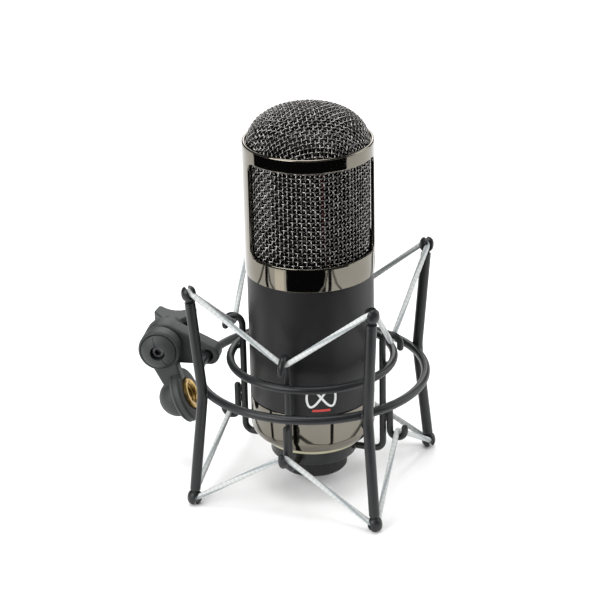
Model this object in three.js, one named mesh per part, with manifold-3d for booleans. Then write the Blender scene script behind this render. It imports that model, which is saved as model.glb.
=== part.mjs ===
// Side-address ribbon microphone in a four-post elastic shock mount with a stand swivel.
// Millimetres, +Z up. The origin is the centre of the connector's flat face on the microphone's axis.
// The front of the microphone faces -Y. The cage is turned about Z from the microphone by cageTurn.
import * as THREE from 'three';
import { mergeVertices } from 'three/addons/utils/BufferGeometryUtils.js';
import Module from 'manifold-3d';

const wasm = await Module();
wasm.setup();

// ---- driving dimensions -------------------------------------------------------------------------
const gap = 0.3;                     // clearance between pieces that touch

const seam = 82;                     // height of the joint between head and body
const headR = 28.5;                  // nickel head frame, outside
const headWall = 1.5;
const rimTop = seam + 60.1;
const windowTop = seam + 53.8;
const windowBottom = seam + 10.9;
const windowHalf = 72;               // half width of each window, degrees
const windowCorner = 3.5;
const domeHeight = 14.7;             // dome above the rim
const domePower = 2.2;
const meshThick = 0.6;

const bodyR = 27.8;
const bodyWall = 1.8;
const capTop = seam - 59;            // joint between the black tube and the nickel end cap
const capShoulder = seam - 72.5;     // where the end cap starts to turn in
const capBottom = seam - 78.6;
const capFootR = 22.3;
const seatR = 22;
const seatTall = 1.8;
const threadR = 12;                  // threaded base of the microphone
const threadEnd = -13.5;
const socketR = 8.1;                 // connector cup
const collarR = 19.3;
const collarTop = 1.0;
const collarBottom = -5.6;
const nutR = 15;
const nutBottom = -14;

const pinR = 1.2;
const pinCircle = 4.1;
const pinEnd = -12;
const pinAngles = [150, 30, 270];

const cageTurn = -26.75;             // hooks stand at this azimuth and every 90 degrees on
const outerRingR = 50.6;
const outerRingZ = seam - 49.5;
const outerWire = 1.95;              // radius of the ring's wire
const innerRingR = 36.4;
const innerRingZ = seam - 42.2;
const innerWire = 1.8;
const postR = 2.35;
const postAtRing = 53.4;                // the post is notched round the ring it is welded to
const postTopR = 57.7;
const postTopZ = seam - 4.5;
const postLowR = 58.9;
const postLowZ = seam - 94.6;
const postBend = 40;
const capR = 3.2;                    // slotted post caps
const capTall = 7.2;
const slotWidth = 2.9;
const neckR = 1.7;
const neckTall = 0.5;

const rodR = 1.5;                    // cradle rods and hooks
const rodAt = 32.8;
const archR = 4.1;                   // bend of the upper hook
const archTop = seam - 27.4;
const archTip = seam - 33.2;
const legZ = seam - 84.2;            // the rod's inward leg, in line with the collar
const legBend = 4;
const hookAt = rodAt + 2 * rodR + gap;
const hookTop = seam - 62;
const hookBend = 3.45;
const hookLow = seam - 77.4;
const hookTip = seam - 72.4;

const elasticR = 1.25;
const elasticBend = 2.6;             // in a cap's slot
const hookWrap = rodR + elasticR + 0.35;
const elasticSteps = 4;               // points round each bend, an even number

const clampAzimuth = 148;            // where the link arm holds the outer ring
const pivotAzimuth = -107.5;         // direction in which the swivel's bolt head points
const armThick = 8.8;
const pivotFromClamp = [-21.3, 4.9]; // swivel pivot from the ring wire: outwards, up
const pivotR = 9.5;
const lobeR = 4.6;
const knuckleThick = 7;
const washerThick = 1.1;
const washerR = 8.2;
const boltR = 2.5;
const mouthFromPivot = [13.1, -21.9];
const mouthTilt = 22.8;              // stand socket's axis above the horizontal, degrees
const mouthR = 12.5;
const mouthBand = 4.6;
const socketBallR = 8.8;
const socketBallBack = 6.2;
const insertR = 7.0;
const insertHoleR = 4.3;
const insertDepth = 9;
const insertProud = 1.2;
const hubR = 6.2;                    // wing nut
const wingHubLong = 9;
const wingTip = 28.2;                // how far back the wings reach from the pivot
const wingSpan = 9.8;
const wingHalf = 4.4;
const saddleDip = 4.6;

// ---- geometry helpers ---------------------------------------------------------------------------
const rad = (degrees) => degrees * Math.PI / 180;

// A point from its distance to the axis, its azimuth in degrees and its height.
function polar(r, azimuth, z) {
  return new THREE.Vector3(r * Math.cos(rad(azimuth)), r * Math.sin(rad(azimuth)), z);
}

// Turns the faces outward, from the sign of the enclosed volume.
function outward(geometry) {
  const p = geometry.attributes.position;
  const index = geometry.index.array;
  const a = new THREE.Vector3();
  const b = new THREE.Vector3();
  const c = new THREE.Vector3();
  let volume = 0;
  for (let i = 0; i < index.length; i += 3) {
    a.fromBufferAttribute(p, index[i]);
    b.fromBufferAttribute(p, index[i + 1]);
    c.fromBufferAttribute(p, index[i + 2]);
    volume += a.dot(b.cross(c));
  }
  if (volume < 0) {
    for (let i = 0; i < index.length; i += 3) {
      [index[i + 1], index[i + 2]] = [index[i + 2], index[i + 1]];
    }
  }
  return geometry;
}

function weld(geometry) {
  const plain = geometry.clone();
  plain.deleteAttribute('normal');
  plain.deleteAttribute('uv');
  return outward(mergeVertices(plain, 1e-4));
}

function solid(geometry) {
  const welded = weld(geometry);
  const vertProperties = new Float32Array(welded.attributes.position.array);
  const triVerts = new Uint32Array(welded.index.array);
  return new wasm.Manifold(new wasm.Mesh({ numProp: 3, vertProperties, triVerts }));
}

function fromSolid(shape) {
  const mesh = shape.getMesh();
  const geometry = new THREE.BufferGeometry();
  geometry.setAttribute('position', new THREE.BufferAttribute(new Float32Array(mesh.vertProperties), 3));
  geometry.setIndex(new THREE.BufferAttribute(new Uint32Array(mesh.triVerts), 1));
  return geometry;
}

function join(...geometries) {
  return fromSolid(geometries.map(solid).reduce((sum, shape) => sum.add(shape)));
}

function cut(geometry, ...cutters) {
  return fromSolid(cutters.map(solid).reduce((rest, shape) => rest.subtract(shape), solid(geometry)));
}

// A turned piece about Z from (radius, height) points.
function turned(profile, segments = 36) {
  const points = profile.map(([r, z]) => new THREE.Vector2(r, z));
  return weld(new THREE.LatheGeometry(points, segments).rotateX(Math.PI / 2));
}

// A plain ring or sleeve about Z.
function sleeve(outer, inner, low, high, segments = 36) {
  return turned([[inner, low], [outer, low], [outer, high], [inner, high], [inner, low]], segments);
}

// A solid cylinder about Z between two heights.
function rod(radius, low, high, segments = 16) {
  return new THREE.CylinderGeometry(radius, radius, high - low, segments)
    .rotateX(Math.PI / 2).translate(0, 0, (low + high) / 2);
}

function block(x, y, z, width, depth, low) {
  return new THREE.BoxGeometry(width, depth, z).translate(x, y, low + z / 2);
}

function circle(radius, sides) {
  const shape = new THREE.Shape();
  for (let i = 0; i < sides; i++) {
    const angle = 2 * Math.PI * i / sides;
    const step = i === 0 ? 'moveTo' : 'lineTo';
    shape[step](radius * Math.cos(angle), radius * Math.sin(angle));
  }
  return shape;
}

// A curve that goes exactly through its points, for wires whose bends are already points.
class Wire extends THREE.Curve {
  constructor(points) {
    super();
    this.points = points;
  }
  getPoint(t, target = new THREE.Vector3()) {
    const place = Math.min(t, 1) * (this.points.length - 1);
    const i = Math.min(Math.floor(place + 1e-9), this.points.length - 2);
    return target.lerpVectors(this.points[i], this.points[i + 1], place - i);
  }
  getPointAt(u, target) {
    return this.getPoint(u, target);
  }
  getTangentAt(u, target = new THREE.Vector3()) {
    const last = this.points.length - 1;
    const i = Math.round(u * last);
    const before = this.points[Math.max(i - 1, 0)];
    const after = this.points[Math.min(i + 1, last)];
    const here = this.points[i];
    const arriving = i > 0 ? here.clone().sub(before).normalize() : new THREE.Vector3();
    const leaving = i < last ? after.clone().sub(here).normalize() : new THREE.Vector3();
    return target.copy(arriving).add(leaving).normalize();
  }
}

function tube(points, radius, sides = 8) {
  const path = new Wire(points);
  const options = { steps: points.length - 1, extrudePath: path };
  return weld(new THREE.ExtrudeGeometry(circle(radius, sides), options));
}

// Points along a polyline whose corners are rounded, to one bend radius or to a list of them.
function rounded(corners, bends, steps = 5) {
  const points = [corners[0]];
  for (let i = 1; i < corners.length - 1; i++) {
    const bend = bends[i] ?? bends;
    const here = corners[i];
    const back = corners[i - 1].clone().sub(here).normalize();
    const ahead = corners[i + 1].clone().sub(here).normalize();
    const half = back.angleTo(ahead) / 2;
    const inward = back.clone().add(ahead).normalize();
    const centre = here.clone().addScaledVector(inward, bend / Math.sin(half));
    const start = here.clone().addScaledVector(back, bend / Math.tan(half)).sub(centre);
    const end = here.clone().addScaledVector(ahead, bend / Math.tan(half)).sub(centre);
    const sweep = Math.PI - 2 * half;
    for (let k = 0; k <= steps; k++) {
      const a = Math.sin(sweep * (1 - k / steps)) / Math.sin(sweep);
      const b = Math.sin(sweep * k / steps) / Math.sin(sweep);
      points.push(centre.clone().addScaledVector(start, a).addScaledVector(end, b));
    }
  }
  points.push(corners[corners.length - 1]);
  return points;
}

// ---- assembly -----------------------------------------------------------------------------------
const finishes = {
  nickel: { color: 0x5b554c, roughness: 0.12, metalness: 1 },
  blackPaint: { color: 0x1d1d1f, roughness: 0.55, metalness: 0.1 },
  blackWire: { color: 0x242628, roughness: 0.4, metalness: 0.3 },
  meshSteel: { color: 0x3b3a39, roughness: 0.35, metalness: 1 },
  plastic: { color: 0x4b504e, roughness: 0.5, metalness: 0 },
  darkPlastic: { color: 0x1c1d1e, roughness: 0.5, metalness: 0 },
  brass: { color: 0xb08a3e, roughness: 0.3, metalness: 1 },
  steel: { color: 0x9a9a98, roughness: 0.3, metalness: 1 },
  cream: { color: 0xd9d5b8, roughness: 0.6, metalness: 0 },
  elastic: { color: 0xc3cbca, roughness: 0.8, metalness: 0 },
  magnet: { color: 0x8a7a58, roughness: 0.45, metalness: 0.7 },
  foil: { color: 0xe2e2e0, roughness: 0.25, metalness: 1 },
  redLead: { color: 0x8c1f1c, roughness: 0.6, metalness: 0 },
};
for (const [name, finish] of Object.entries(finishes)) {
  finishes[name] = new THREE.MeshStandardMaterial(finish);
}

const microphone = new THREE.Group();

function add(name, geometry, finish, parent = microphone) {
  const mesh = new THREE.Mesh(geometry, finishes[finish]);
  mesh.name = name;
  parent.add(mesh);
  return mesh;
}

// ---- head ---------------------------------------------------------------------------------------
// One window's cutter: an arc-shaped bar across, one up and down, and a round bar at each corner.
function windowCutters(facing) {
  const reach = 12;
  const cutR = headR - 1;
  const cornerAngle = windowCorner / headR * 180 / Math.PI;
  const bars = [[windowHalf, windowCorner], [windowHalf - cornerAngle, 0]];
  const cutters = bars.map(([half, inset]) => {
    const tall = windowTop - windowBottom - 2 * inset;
    const shape = new THREE.Shape();
    shape.moveTo(-tall / 2, -reach / 2);
    shape.lineTo(tall / 2, -reach / 2);
    shape.lineTo(tall / 2, reach / 2);
    shape.lineTo(-tall / 2, reach / 2);
    const steps = 18;
    const points = [];
    for (let i = 0; i <= steps; i++) {
      const azimuth = facing - half + 2 * half * i / steps;
      points.push(polar(cutR, azimuth, (windowTop + windowBottom) / 2));
    }
    return new THREE.ExtrudeGeometry(shape, { steps, extrudePath: new Wire(points) });
  });
  for (const side of [-1, 1]) {
    for (const z of [windowBottom + windowCorner, windowTop - windowCorner]) {
      const bar = new THREE.CylinderGeometry(windowCorner, windowCorner, reach, 12);
      bar.rotateZ(Math.PI / 2).translate(cutR, 0, z);
      bar.rotateZ(rad(facing + side * (windowHalf - cornerAngle)));
      cutters.push(bar);
    }
  }
  return cutters;
}

function headFrame() {
  const inner = headR - headWall;
  const ring = turned([
    [inner, seam], [headR - 0.3, seam], [headR, seam + 0.3], [headR, rimTop - 0.7],
    [headR - 0.7, rimTop], [inner, rimTop],
    [inner, seam],
  ], 48);
  return cut(ring, ...windowCutters(-90), ...windowCutters(90));
}

// Superellipse of revolution over the rim, with an even wall.
function domeGrille() {
  const baseR = headR - headWall - gap;
  const base = rimTop - 2;
  const rows = 7;
  const shell = (r, height, flip) => {
    const points = [];
    for (let i = 0; i <= rows; i++) {
      const angle = Math.PI / 2 * (flip ? rows - i : i) / rows;
      const out = Math.cos(angle) ** (2 / domePower);
      const up = Math.sin(angle) ** (2 / domePower);
      points.push([i === (flip ? 0 : rows) ? 0 : r * out, base + height * up]);
    }
    return points;
  };
  const outer = shell(baseR, domeHeight + 2, false);
  const inner = shell(baseR - meshThick, domeHeight + 2 - meshThick, true);
  return turned([...outer, ...inner, [baseR, base]], 36);
}

function sideGrille() {
  const outer = headR - headWall - gap;
  return sleeve(outer, outer - meshThick, windowBottom - 4, windowTop + 3, 48);
}

add('head_frame', headFrame(), 'nickel');
add('dome_grille', domeGrille(), 'meshSteel');
add('side_grille', sideGrille(), 'meshSteel');

// ---- ribbon motor inside the head ---------------------------------------------------------------
const deckLow = seam + 2.5;
const deckTop = deckLow + 2;
const motorLow = deckTop + gap;
const motorBaseTall = 5;
const magnetLow = motorLow + motorBaseTall + gap;
const magnetTall = 44;
const motorTopLow = magnetLow + magnetTall + gap;
const clampTall = 4.4;
const leadHole = [6, 10];            // where the leads pass the deck
const leadR = 0.6;
const leadOut = 9.4;                 // how far in front of the ribbon a lead runs
const leadBend = 8;
const leadEnd = 62;

function deckPlate() {
  const plate = rod(headR - headWall - gap - 0.2, deckLow, deckTop, 36);
  const holes = [-1, 1].map((side) => rod(2.2, deckLow - 1, deckTop + 1, 12)
    .translate(leadHole[0], side * leadHole[1], 0));
  return cut(plate, ...holes);
}

function polePiece(side) {
  const shape = new THREE.Shape();
  shape.moveTo(side * 2.6, -1.6);
  shape.lineTo(side * 6.7, -6);
  shape.lineTo(side * 6.7, 6);
  shape.lineTo(side * 2.6, 1.6);
  const tall = magnetTall - 2 * clampTall - 2 * gap;
  return weld(new THREE.ExtrudeGeometry(shape, { depth: tall, bevelEnabled: false })
    .translate(0, 0, magnetLow + clampTall + gap));
}

// Foil with its corrugations across, hung between the two clamps.
function ribbon() {
  const thick = 0.16;
  const folds = 26;
  const low = magnetLow + 0.4;
  const high = magnetLow + magnetTall - 0.4;
  const front = [];
  const back = [];
  for (let i = 0; i <= folds; i++) {
    const z = low + (high - low) * i / folds;
    const nearEnd = i < 3 || i > folds - 3;
    const wave = nearEnd ? 0 : (i % 2 ? 0.35 : -0.35);
    front.push(new THREE.Vector2(wave - thick / 2, z));
    back.unshift(new THREE.Vector2(wave + thick / 2, z));
  }
  const shape = new THREE.Shape([...front, ...back]);
  const strip = new THREE.ExtrudeGeometry(shape, { depth: 4.4, bevelEnabled: false });
  return weld(strip.translate(0, 0, -2.2).applyMatrix4(new THREE.Matrix4().set(
    0, 0, 1, 0, 1, 0, 0, 0, 0, 1, 0, 0, 0, 0, 0, 1)));
}

function ribbonClamp(low) {
  return cut(block(0, 0, clampTall, 9, 6, low), block(0, 0, clampTall + 2, 5.2, 0.9, low - 1));
}

// An insulated lead from the motor's top, down its face, through the deck and on to the transformer.
function lead(side) {
  const top = magnetLow + magnetTall;
  const y = side * leadOut;
  const corners = [
    new THREE.Vector3(3.2, side * 9, top - 3),
    new THREE.Vector3(4.6, y, top - 12),
    new THREE.Vector3(5, y, magnetLow + 4),
    new THREE.Vector3(leadHole[0], side * leadHole[1], deckTop + 1),
    new THREE.Vector3(leadHole[0], side * leadHole[1], deckLow - 6),
    new THREE.Vector3(4.5, side * 6, leadEnd),
  ];
  return tube(rounded(corners, leadBend, 3), leadR, 8);
}

add('deck_plate', deckPlate(), 'darkPlastic');
add('motor_base', block(0, 0, motorBaseTall, 34, 15, motorLow), 'magnet');
add('motor_top', block(0, 0, 3.4, 34, 15, motorTopLow), 'magnet');
for (const [word, side] of [['left', -1], ['right', 1]]) {
  add(`magnet_${word}`, block(side * 11.5, 0, magnetTall, 9, 13, magnetLow), 'magnet');
  add(`pole_${word}`, polePiece(side), 'steel');
}
add('ribbon', ribbon(), 'foil');
add('ribbon_clamp_top', ribbonClamp(magnetLow + magnetTall - clampTall), 'brass');
add('ribbon_clamp_bottom', ribbonClamp(magnetLow), 'brass');
add('red_lead', lead(-1), 'redLead');
add('black_lead', lead(1), 'darkPlastic');

// ---- body ---------------------------------------------------------------------------------------
const flangeLow = capBottom + bodyWall + gap;
const flangeTop = flangeLow + 2.4;
const railAt = 17.9;
const railThick = 2;
const railWide = 8;

// Cup with a rounded lower corner and a hole for the threaded base.
function endCap() {
  const corner = (r, foot, shoulder, bottom) => {
    const points = [];
    for (let i = 0; i <= 4; i++) {
      const angle = Math.PI / 2 * i / 4;
      points.push([foot + (r - foot) * Math.cos(angle), shoulder - (shoulder - bottom) * Math.sin(angle)]);
    }
    return points;
  };
  const outer = corner(bodyR, capFootR, capShoulder, capBottom);
  const inner = corner(bodyR - bodyWall, capFootR - 1, capShoulder, capBottom + bodyWall).reverse();
  const hole = threadR + gap;
  const start = [bodyR - bodyWall, capTop - gap];
  return turned([
    start, [bodyR, capTop - gap], ...outer, [hole, capBottom], [hole, capBottom + bodyWall], ...inner, start,
  ], 40);
}

function threadedBase() {
  return turned([
    [socketR, threadEnd], [threadR - 0.6, threadEnd], [threadR, threadEnd + 0.6], [threadR, flangeLow],
    [20, flangeLow], [20, flangeTop], [socketR, flangeTop], [socketR, threadEnd],
  ]);
}

add('body_tube', sleeve(bodyR, bodyR - bodyWall, capTop, seam - gap, 48), 'blackPaint');
add('end_cap', endCap(), 'nickel');
add('seat_ring', sleeve(seatR, threadR + gap, capBottom - gap - seatTall, capBottom - gap), 'cream');
add('threaded_base', threadedBase(), 'steel');
add('connector_insert', rod(socketR - gap, 0, flangeTop - 0.2, 32), 'darkPlastic');
pinAngles.forEach((angle, i) => {
  const pin = rod(pinR, pinEnd, -gap, 12);
  add(`connector_pin_${i + 1}`, pin.translate(...polar(pinCircle, angle, 0).toArray()), 'steel');
});
for (const [word, side] of [['left', -1], ['right', 1]]) {
  const tall = deckLow - flangeTop - 2 * gap;
  add(`chassis_rail_${word}`, block(side * railAt, 0, tall, railThick, railWide, flangeTop + gap), 'steel');
}
const bracketLow = 26;
const bracketThick = 1.6;
const bracketLong = 2 * railAt - railThick - 2 * gap;
add('transformer_bracket', block(0, 0, bracketThick, bracketLong, 22, bracketLow), 'steel');
const canR = 13;
const canTall = 30;
const canEdge = 0.8;
const canLow = bracketLow + bracketThick + 0.4;
add('transformer', turned([
  [0, canLow], [canR - canEdge, canLow], [canR, canLow + canEdge], [canR, canLow + canTall - canEdge],
  [canR - canEdge, canLow + canTall], [0, canLow + canTall],
], 32), 'steel');

// ---- cradle that the microphone sits in ---------------------------------------------------------
const cage = new THREE.Group();
cage.rotation.z = rad(cageTurn);
microphone.add(cage);

// Upper hook, straight stretch and inward leg, bent from one rod in the plane y = 0.
function cradleRod() {
  const points = [new THREE.Vector3(rodAt + 2 * archR, 0, archTip)];
  for (let i = 0; i <= 8; i++) {
    const angle = Math.PI * i / 8;
    const x = rodAt + archR + archR * Math.cos(angle);
    points.push(new THREE.Vector3(x, 0, archTop - archR + archR * Math.sin(angle)));
  }
  for (let i = 0; i <= 4; i++) {
    const angle = Math.PI / 2 * i / 4;
    const x = rodAt - legBend + legBend * Math.cos(angle);
    points.push(new THREE.Vector3(x, 0, legZ + legBend - legBend * Math.sin(angle)));
  }
  points.push(new THREE.Vector3(collarR + gap, 0, legZ));
  return tube(points, rodR, 8);
}

// Lower hook: a short rod beside the cradle rod that turns out and up.
function lowerHook() {
  const points = [new THREE.Vector3(hookAt, 0, hookTop)];
  for (let i = 0; i <= 8; i++) {
    const angle = Math.PI * i / 8;
    const x = hookAt + hookBend - hookBend * Math.cos(angle);
    points.push(new THREE.Vector3(x, 0, hookLow + hookBend - hookBend * Math.sin(angle)));
  }
  points.push(new THREE.Vector3(hookAt + 2 * hookBend, 0, hookTip));
  return tube(points, rodR, 8);
}

add('base_collar', turned([
  [threadR + gap, collarBottom], [collarR - 0.6, collarBottom], [collarR, collarBottom + 0.6],
  [collarR, collarTop - 0.6], [collarR - 0.6, collarTop], [threadR + gap, collarTop],
  [threadR + gap, collarBottom],
]), 'blackPaint');
add('ring_nut', turned([
  [threadR + gap, nutBottom], [nutR - 1, nutBottom], [nutR, nutBottom + 1],
  [nutR, collarBottom - gap - 0.4], [nutR - 0.4, collarBottom - gap],
  [threadR + gap, collarBottom - gap], [threadR + gap, nutBottom],
]), 'darkPlastic');
add('inner_ring', new THREE.TorusGeometry(innerRingR, innerWire, 8, 40).translate(0, 0, innerRingZ),
  'blackWire', cage);
for (let i = 0; i < 4; i++) {
  const turn = new THREE.Group();
  turn.rotation.z = i * Math.PI / 2;
  cage.add(turn);
  add(`cradle_rod_${i + 1}`, cradleRod(), 'blackWire', turn);
  add(`lower_hook_${i + 1}`, lowerHook(), 'blackWire', turn);
}

// ---- elastics -----------------------------------------------------------------------------------
// Each loop zigzags between the post caps and the hooks. It is open by a hair inside one cap's slot.
// A corner lies past its post or hook by what rounding it takes back.
function elasticRoute(capAt, capZ, hookR, hookZ) {
  const place = (k) => (k % 2 ? polar(capAt, 45 * k, capZ) : polar(hookR, 45 * k, hookZ));
  const bend = (k) => (k % 2 ? elasticBend : hookWrap);
  const corners = [];
  const bends = [];
  for (let k = 1; k <= 10; k++) {
    const back = place(k - 1).sub(place(k));
    const ahead = place(k + 1).sub(place(k));
    const half = back.angleTo(ahead) / 2;
    const away = back.add(ahead).normalize().negate();
    corners.push(place(k).addScaledVector(away, bend(k) * (1 / Math.sin(half) - 1)));
    bends.push(bend(k));
  }
  return rounded(corners, bends, elasticSteps).slice(1, -1);
}

function elasticLoop(capAt, capZ, hookR, hookZ, radius) {
  const points = elasticRoute(capAt, capZ, hookR, hookZ);
  const arc = points.slice(-elasticSteps - 1);
  const half = elasticSteps / 2;
  const start = arc[half].clone().lerp(arc[half + 1], 0.25);
  const end = arc[half].clone().lerp(arc[half - 1], 0.25);
  return tube([start, ...arc.slice(half + 1), ...points.slice(0, -half - 1), end], radius, 8);
}

const upperHookZ = archTop - hookWrap;
const upperHookR = rodAt + archR;
const lowerHookZ = hookLow + hookWrap;
const lowerHookR = hookAt + hookBend;
const topSlotZ = seam + 0.4;
const lowSlotZ = seam - 98.6;
const topCapAt = postTopR + 0.35;
const lowCapAt = postLowR + 0.3;

const upperElastic = (radius) => elasticLoop(topCapAt, topSlotZ, upperHookR, upperHookZ, radius);
const lowerElastic = (radius) => elasticLoop(lowCapAt, lowSlotZ, lowerHookR, lowerHookZ, radius);
add('upper_elastic', upperElastic(elasticR), 'elastic', cage);
add('lower_elastic', lowerElastic(elasticR), 'elastic', cage);

// ---- cage ---------------------------------------------------------------------------------------
function outerRing(wire) {
  return new THREE.TorusGeometry(outerRingR, wire, 8, 56).translate(0, 0, outerRingZ);
}

function post() {
  const corners = [
    new THREE.Vector3(postTopR, 0, postTopZ),
    new THREE.Vector3(postAtRing, 0, outerRingZ),
    new THREE.Vector3(postLowR, 0, postLowZ),
  ];
  const bar = tube(rounded(corners, postBend, 3), postR, 10).rotateZ(Math.PI / 4);
  return cut(bar, outerRing(outerWire + gap));
}

// A ball-like cap on a thin neck, slotted across for the elastic, standing on the post's end.
// The elastic clears it at the second post, where the loop has no joint.
function postCap(postEnd, lean, flipped, elastic) {
  const profile = [
    [0, gap], [neckR, gap], [neckR, neckTall], [capR * 0.75, neckTall + 0.7], [capR, neckTall + 2.6],
    [capR, neckTall + 4.6], [capR * 0.75, neckTall + 6.7],
    [0, neckTall + capTall],
  ];
  const cap = turned(profile, 10);
  const floor = neckTall + 2.6;
  const slot = block(0, 0, capTall, slotWidth, 4 * capR, floor);
  const slotted = cut(cap, slot);
  if (flipped) {
    slotted.rotateX(Math.PI);
  }
  slotted.rotateY(flipped ? -lean : lean).translate(postEnd[0], 0, postEnd[1]);
  return cut(slotted.rotateZ(Math.PI * 3 / 4), elastic).rotateZ(-Math.PI / 2);
}

add('outer_ring', outerRing(outerWire), 'blackWire', cage);
const topLean = Math.atan2(postTopR - postAtRing, postTopZ - outerRingZ);
const lowLean = Math.atan2(postLowR - postAtRing, outerRingZ - postLowZ);
const topCap = postCap([postTopR, postTopZ], topLean, false, upperElastic(elasticR + 0.2));
const lowCap = postCap([postLowR, postLowZ], lowLean, true, lowerElastic(elasticR + 0.2));
for (let i = 0; i < 4; i++) {
  const turn = new THREE.Group();
  turn.rotation.z = i * Math.PI / 2;
  cage.add(turn);
  add(`post_${i + 1}`, post(), 'blackWire', turn);
  add(`top_cap_${i + 1}`, topCap.clone(), 'blackWire', turn);
  add(`bottom_cap_${i + 1}`, lowCap.clone(), 'blackWire', turn);
}

// ---- stand swivel -------------------------------------------------------------------------------
// Inside this group X points from the pivot towards the cage, Y back along the pivot bolt, Z up.
const swivel = new THREE.Group();
const across = pivotAzimuth + 90;
const clampPoint = polar(outerRingR, clampAzimuth, outerRingZ);
swivel.rotation.z = rad(across);
const pivot = new THREE.Vector3(pivotFromClamp[0], 0, pivotFromClamp[1])
  .applyAxisAngle(new THREE.Vector3(0, 0, 1), rad(across)).add(clampPoint);
swivel.position.copy(pivot);
microphone.add(swivel);

const armFront = -armThick / 2;
const armBack = armThick / 2;
const knuckleBack = armFront - washerThick - 2 * gap;
const knuckleFront = knuckleBack - knuckleThick;

// A plate standing in the XZ plane between two depths.
function plate(shape, front, back) {
  const body = new THREE.ExtrudeGeometry(shape, { depth: back - front, bevelEnabled: false });
  return body.rotateX(Math.PI / 2).translate(0, back, 0);
}

// A cylinder along the pivot.
function disc(radius, front, back, segments = 28) {
  return new THREE.CylinderGeometry(radius, radius, back - front, segments)
    .translate(0, (front + back) / 2, 0);
}

// The arm's outline: the pivot's boss and the ring's lobe with their common tangents.
function linkArm() {
  const [dx, dz] = [-pivotFromClamp[0], -pivotFromClamp[1]];
  const along = Math.atan2(dz, dx);
  const spread = Math.acos((pivotR - lobeR) / Math.hypot(dx, dz));
  const shape = new THREE.Shape();
  shape.absarc(0, 0, pivotR, along + spread, along - spread + 2 * Math.PI, false);
  shape.absarc(dx, dz, lobeR, along - spread, along + spread, false);
  const arm = plate(shape, armFront, armBack);
  const wire = new THREE.TorusGeometry(outerRingR, outerWire + 0.25, 10, 72)
    .translate(0, 0, outerRingZ).translate(-pivot.x, -pivot.y, -pivot.z).rotateZ(-rad(across));
  const bore = disc(boltR + gap, armFront - 1, armBack + 1, 20);
  const mouthAtFront = new THREE.CylinderGeometry(2.5, 3.3, 1.6, 20).translate(dx - 1.2, armFront + 0.6, dz);
  const backPocket = disc(pivotR - 1.8, armBack - 2.2, armBack + 1, 32);
  return cut(arm, bore, wire, mouthAtFront, backPocket);
}

const mouth = new THREE.Vector3(mouthFromPivot[0], 0, mouthFromPivot[1]);
const socketY = knuckleFront + 4;

// Turns a piece made about Z, mouth up at the origin, to the stand socket's place.
function placeSocket(geometry) {
  return geometry.rotateY(rad(90 - mouthTilt)).translate(mouth.x, socketY, mouth.z);
}

function knuckle() {
  const boss = disc(pivotR, knuckleFront, knuckleBack, 36);
  const cover = new THREE.SphereGeometry(15, 28, 28).scale(1, 0.62, 1);
  cover.translate(0, knuckleFront + 7.55, 0);
  const coverEdge = disc(8, knuckleFront - 4, knuckleFront + 2, 28);
  const dome = fromSolid(solid(cover).intersect(solid(coverEdge)));
  const shape = new THREE.Shape();
  const down = rad(mouthTilt - 90);
  const neckLength = 19;
  const side = new THREE.Vector2(-Math.sin(down), Math.cos(down));
  const ahead = new THREE.Vector2(Math.cos(down), Math.sin(down));
  const spot = (along, wide) => [ahead.x * along + side.x * wide, ahead.y * along + side.y * wide];
  shape.moveTo(...spot(3, -6.5));
  shape.lineTo(...spot(neckLength, -5.2));
  shape.lineTo(...spot(neckLength, 3.2));
  shape.lineTo(...spot(3, 6));
  const neck = plate(shape, knuckleFront, knuckleBack - 0.6);
  const socket = placeSocket(turned([
    [0, -socketBallBack - socketBallR], [socketBallR * 0.5, -socketBallBack - socketBallR * 0.866],
    [socketBallR * 0.866, -socketBallBack - socketBallR * 0.5], [socketBallR, -socketBallBack],
    [mouthR - 0.7, -mouthBand], [mouthR, -mouthBand + 0.5], [mouthR, -0.5], [mouthR - 0.5, 0], [0, 0],
  ], 32));
  const bore = placeSocket(rod(insertR + gap, -insertDepth - gap, 3, 24));
  const boltHole = disc(boltR + gap, knuckleFront - 5, knuckleBack + 1, 20);
  const headHole = disc(3.4, knuckleFront - 5, knuckleFront + 2.6, 24);
  return cut(join(boss, dome, neck, socket), bore, boltHole, headHole);
}

function threadInsert() {
  return placeSocket(turned([
    [insertHoleR, -insertDepth], [insertR, -insertDepth], [insertR, insertProud - 0.4],
    [insertR - 0.4, insertProud], [insertHoleR + 0.6, insertProud], [insertHoleR, insertProud - 0.6],
    [insertHoleR, -insertDepth],
  ], 24));
}

const wingBase = armBack + 0.4;

function hingeBolt() {
  const head = disc(3.1, knuckleFront - 0.4, knuckleFront + 2.3, 24);
  const shank = disc(boltR, knuckleFront + 1, wingBase + wingHubLong - 1.4, 20);
  const key = disc(1.6, knuckleFront - 2, knuckleFront + 1.2, 6);
  return cut(join(head, shank), key);
}

// Thumb nut: a hub and two thick swept wings, seen from above as a V in front and a saddle behind.
function wingNut() {
  const hub = disc(hubR, wingBase, wingBase + wingHubLong, 24);
  const shape = new THREE.Shape();
  const half = [
    [3.2, wingBase + wingHubLong - 1.5], [wingSpan - 0.3, wingTip - 7.8], [wingSpan, wingTip - 7],
    [wingSpan - 0.7, wingTip - 0.8], [wingSpan - 1.6, wingTip],
  ];
  shape.moveTo(-half[0][0], -half[0][1]);
  for (const [x, y] of half.slice(1)) {
    shape.lineTo(-x, -y);
  }
  shape.quadraticCurveTo(0, -(wingTip - 2 * saddleDip), wingSpan - 1.6, -wingTip);
  for (const [x, y] of half.reverse().slice(1)) {
    shape.lineTo(x, -y);
  }
  const options = { depth: 2 * wingHalf, bevelEnabled: false, curveSegments: 10 };
  const wings = new THREE.ExtrudeGeometry(shape, options);
  wings.translate(0, 0, -wingHalf).scale(1, -1, 1);
  const bore = disc(boltR + gap, wingBase - 1, wingBase + wingHubLong - 1, 20);
  return cut(join(hub, wings), bore);
}

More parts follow.
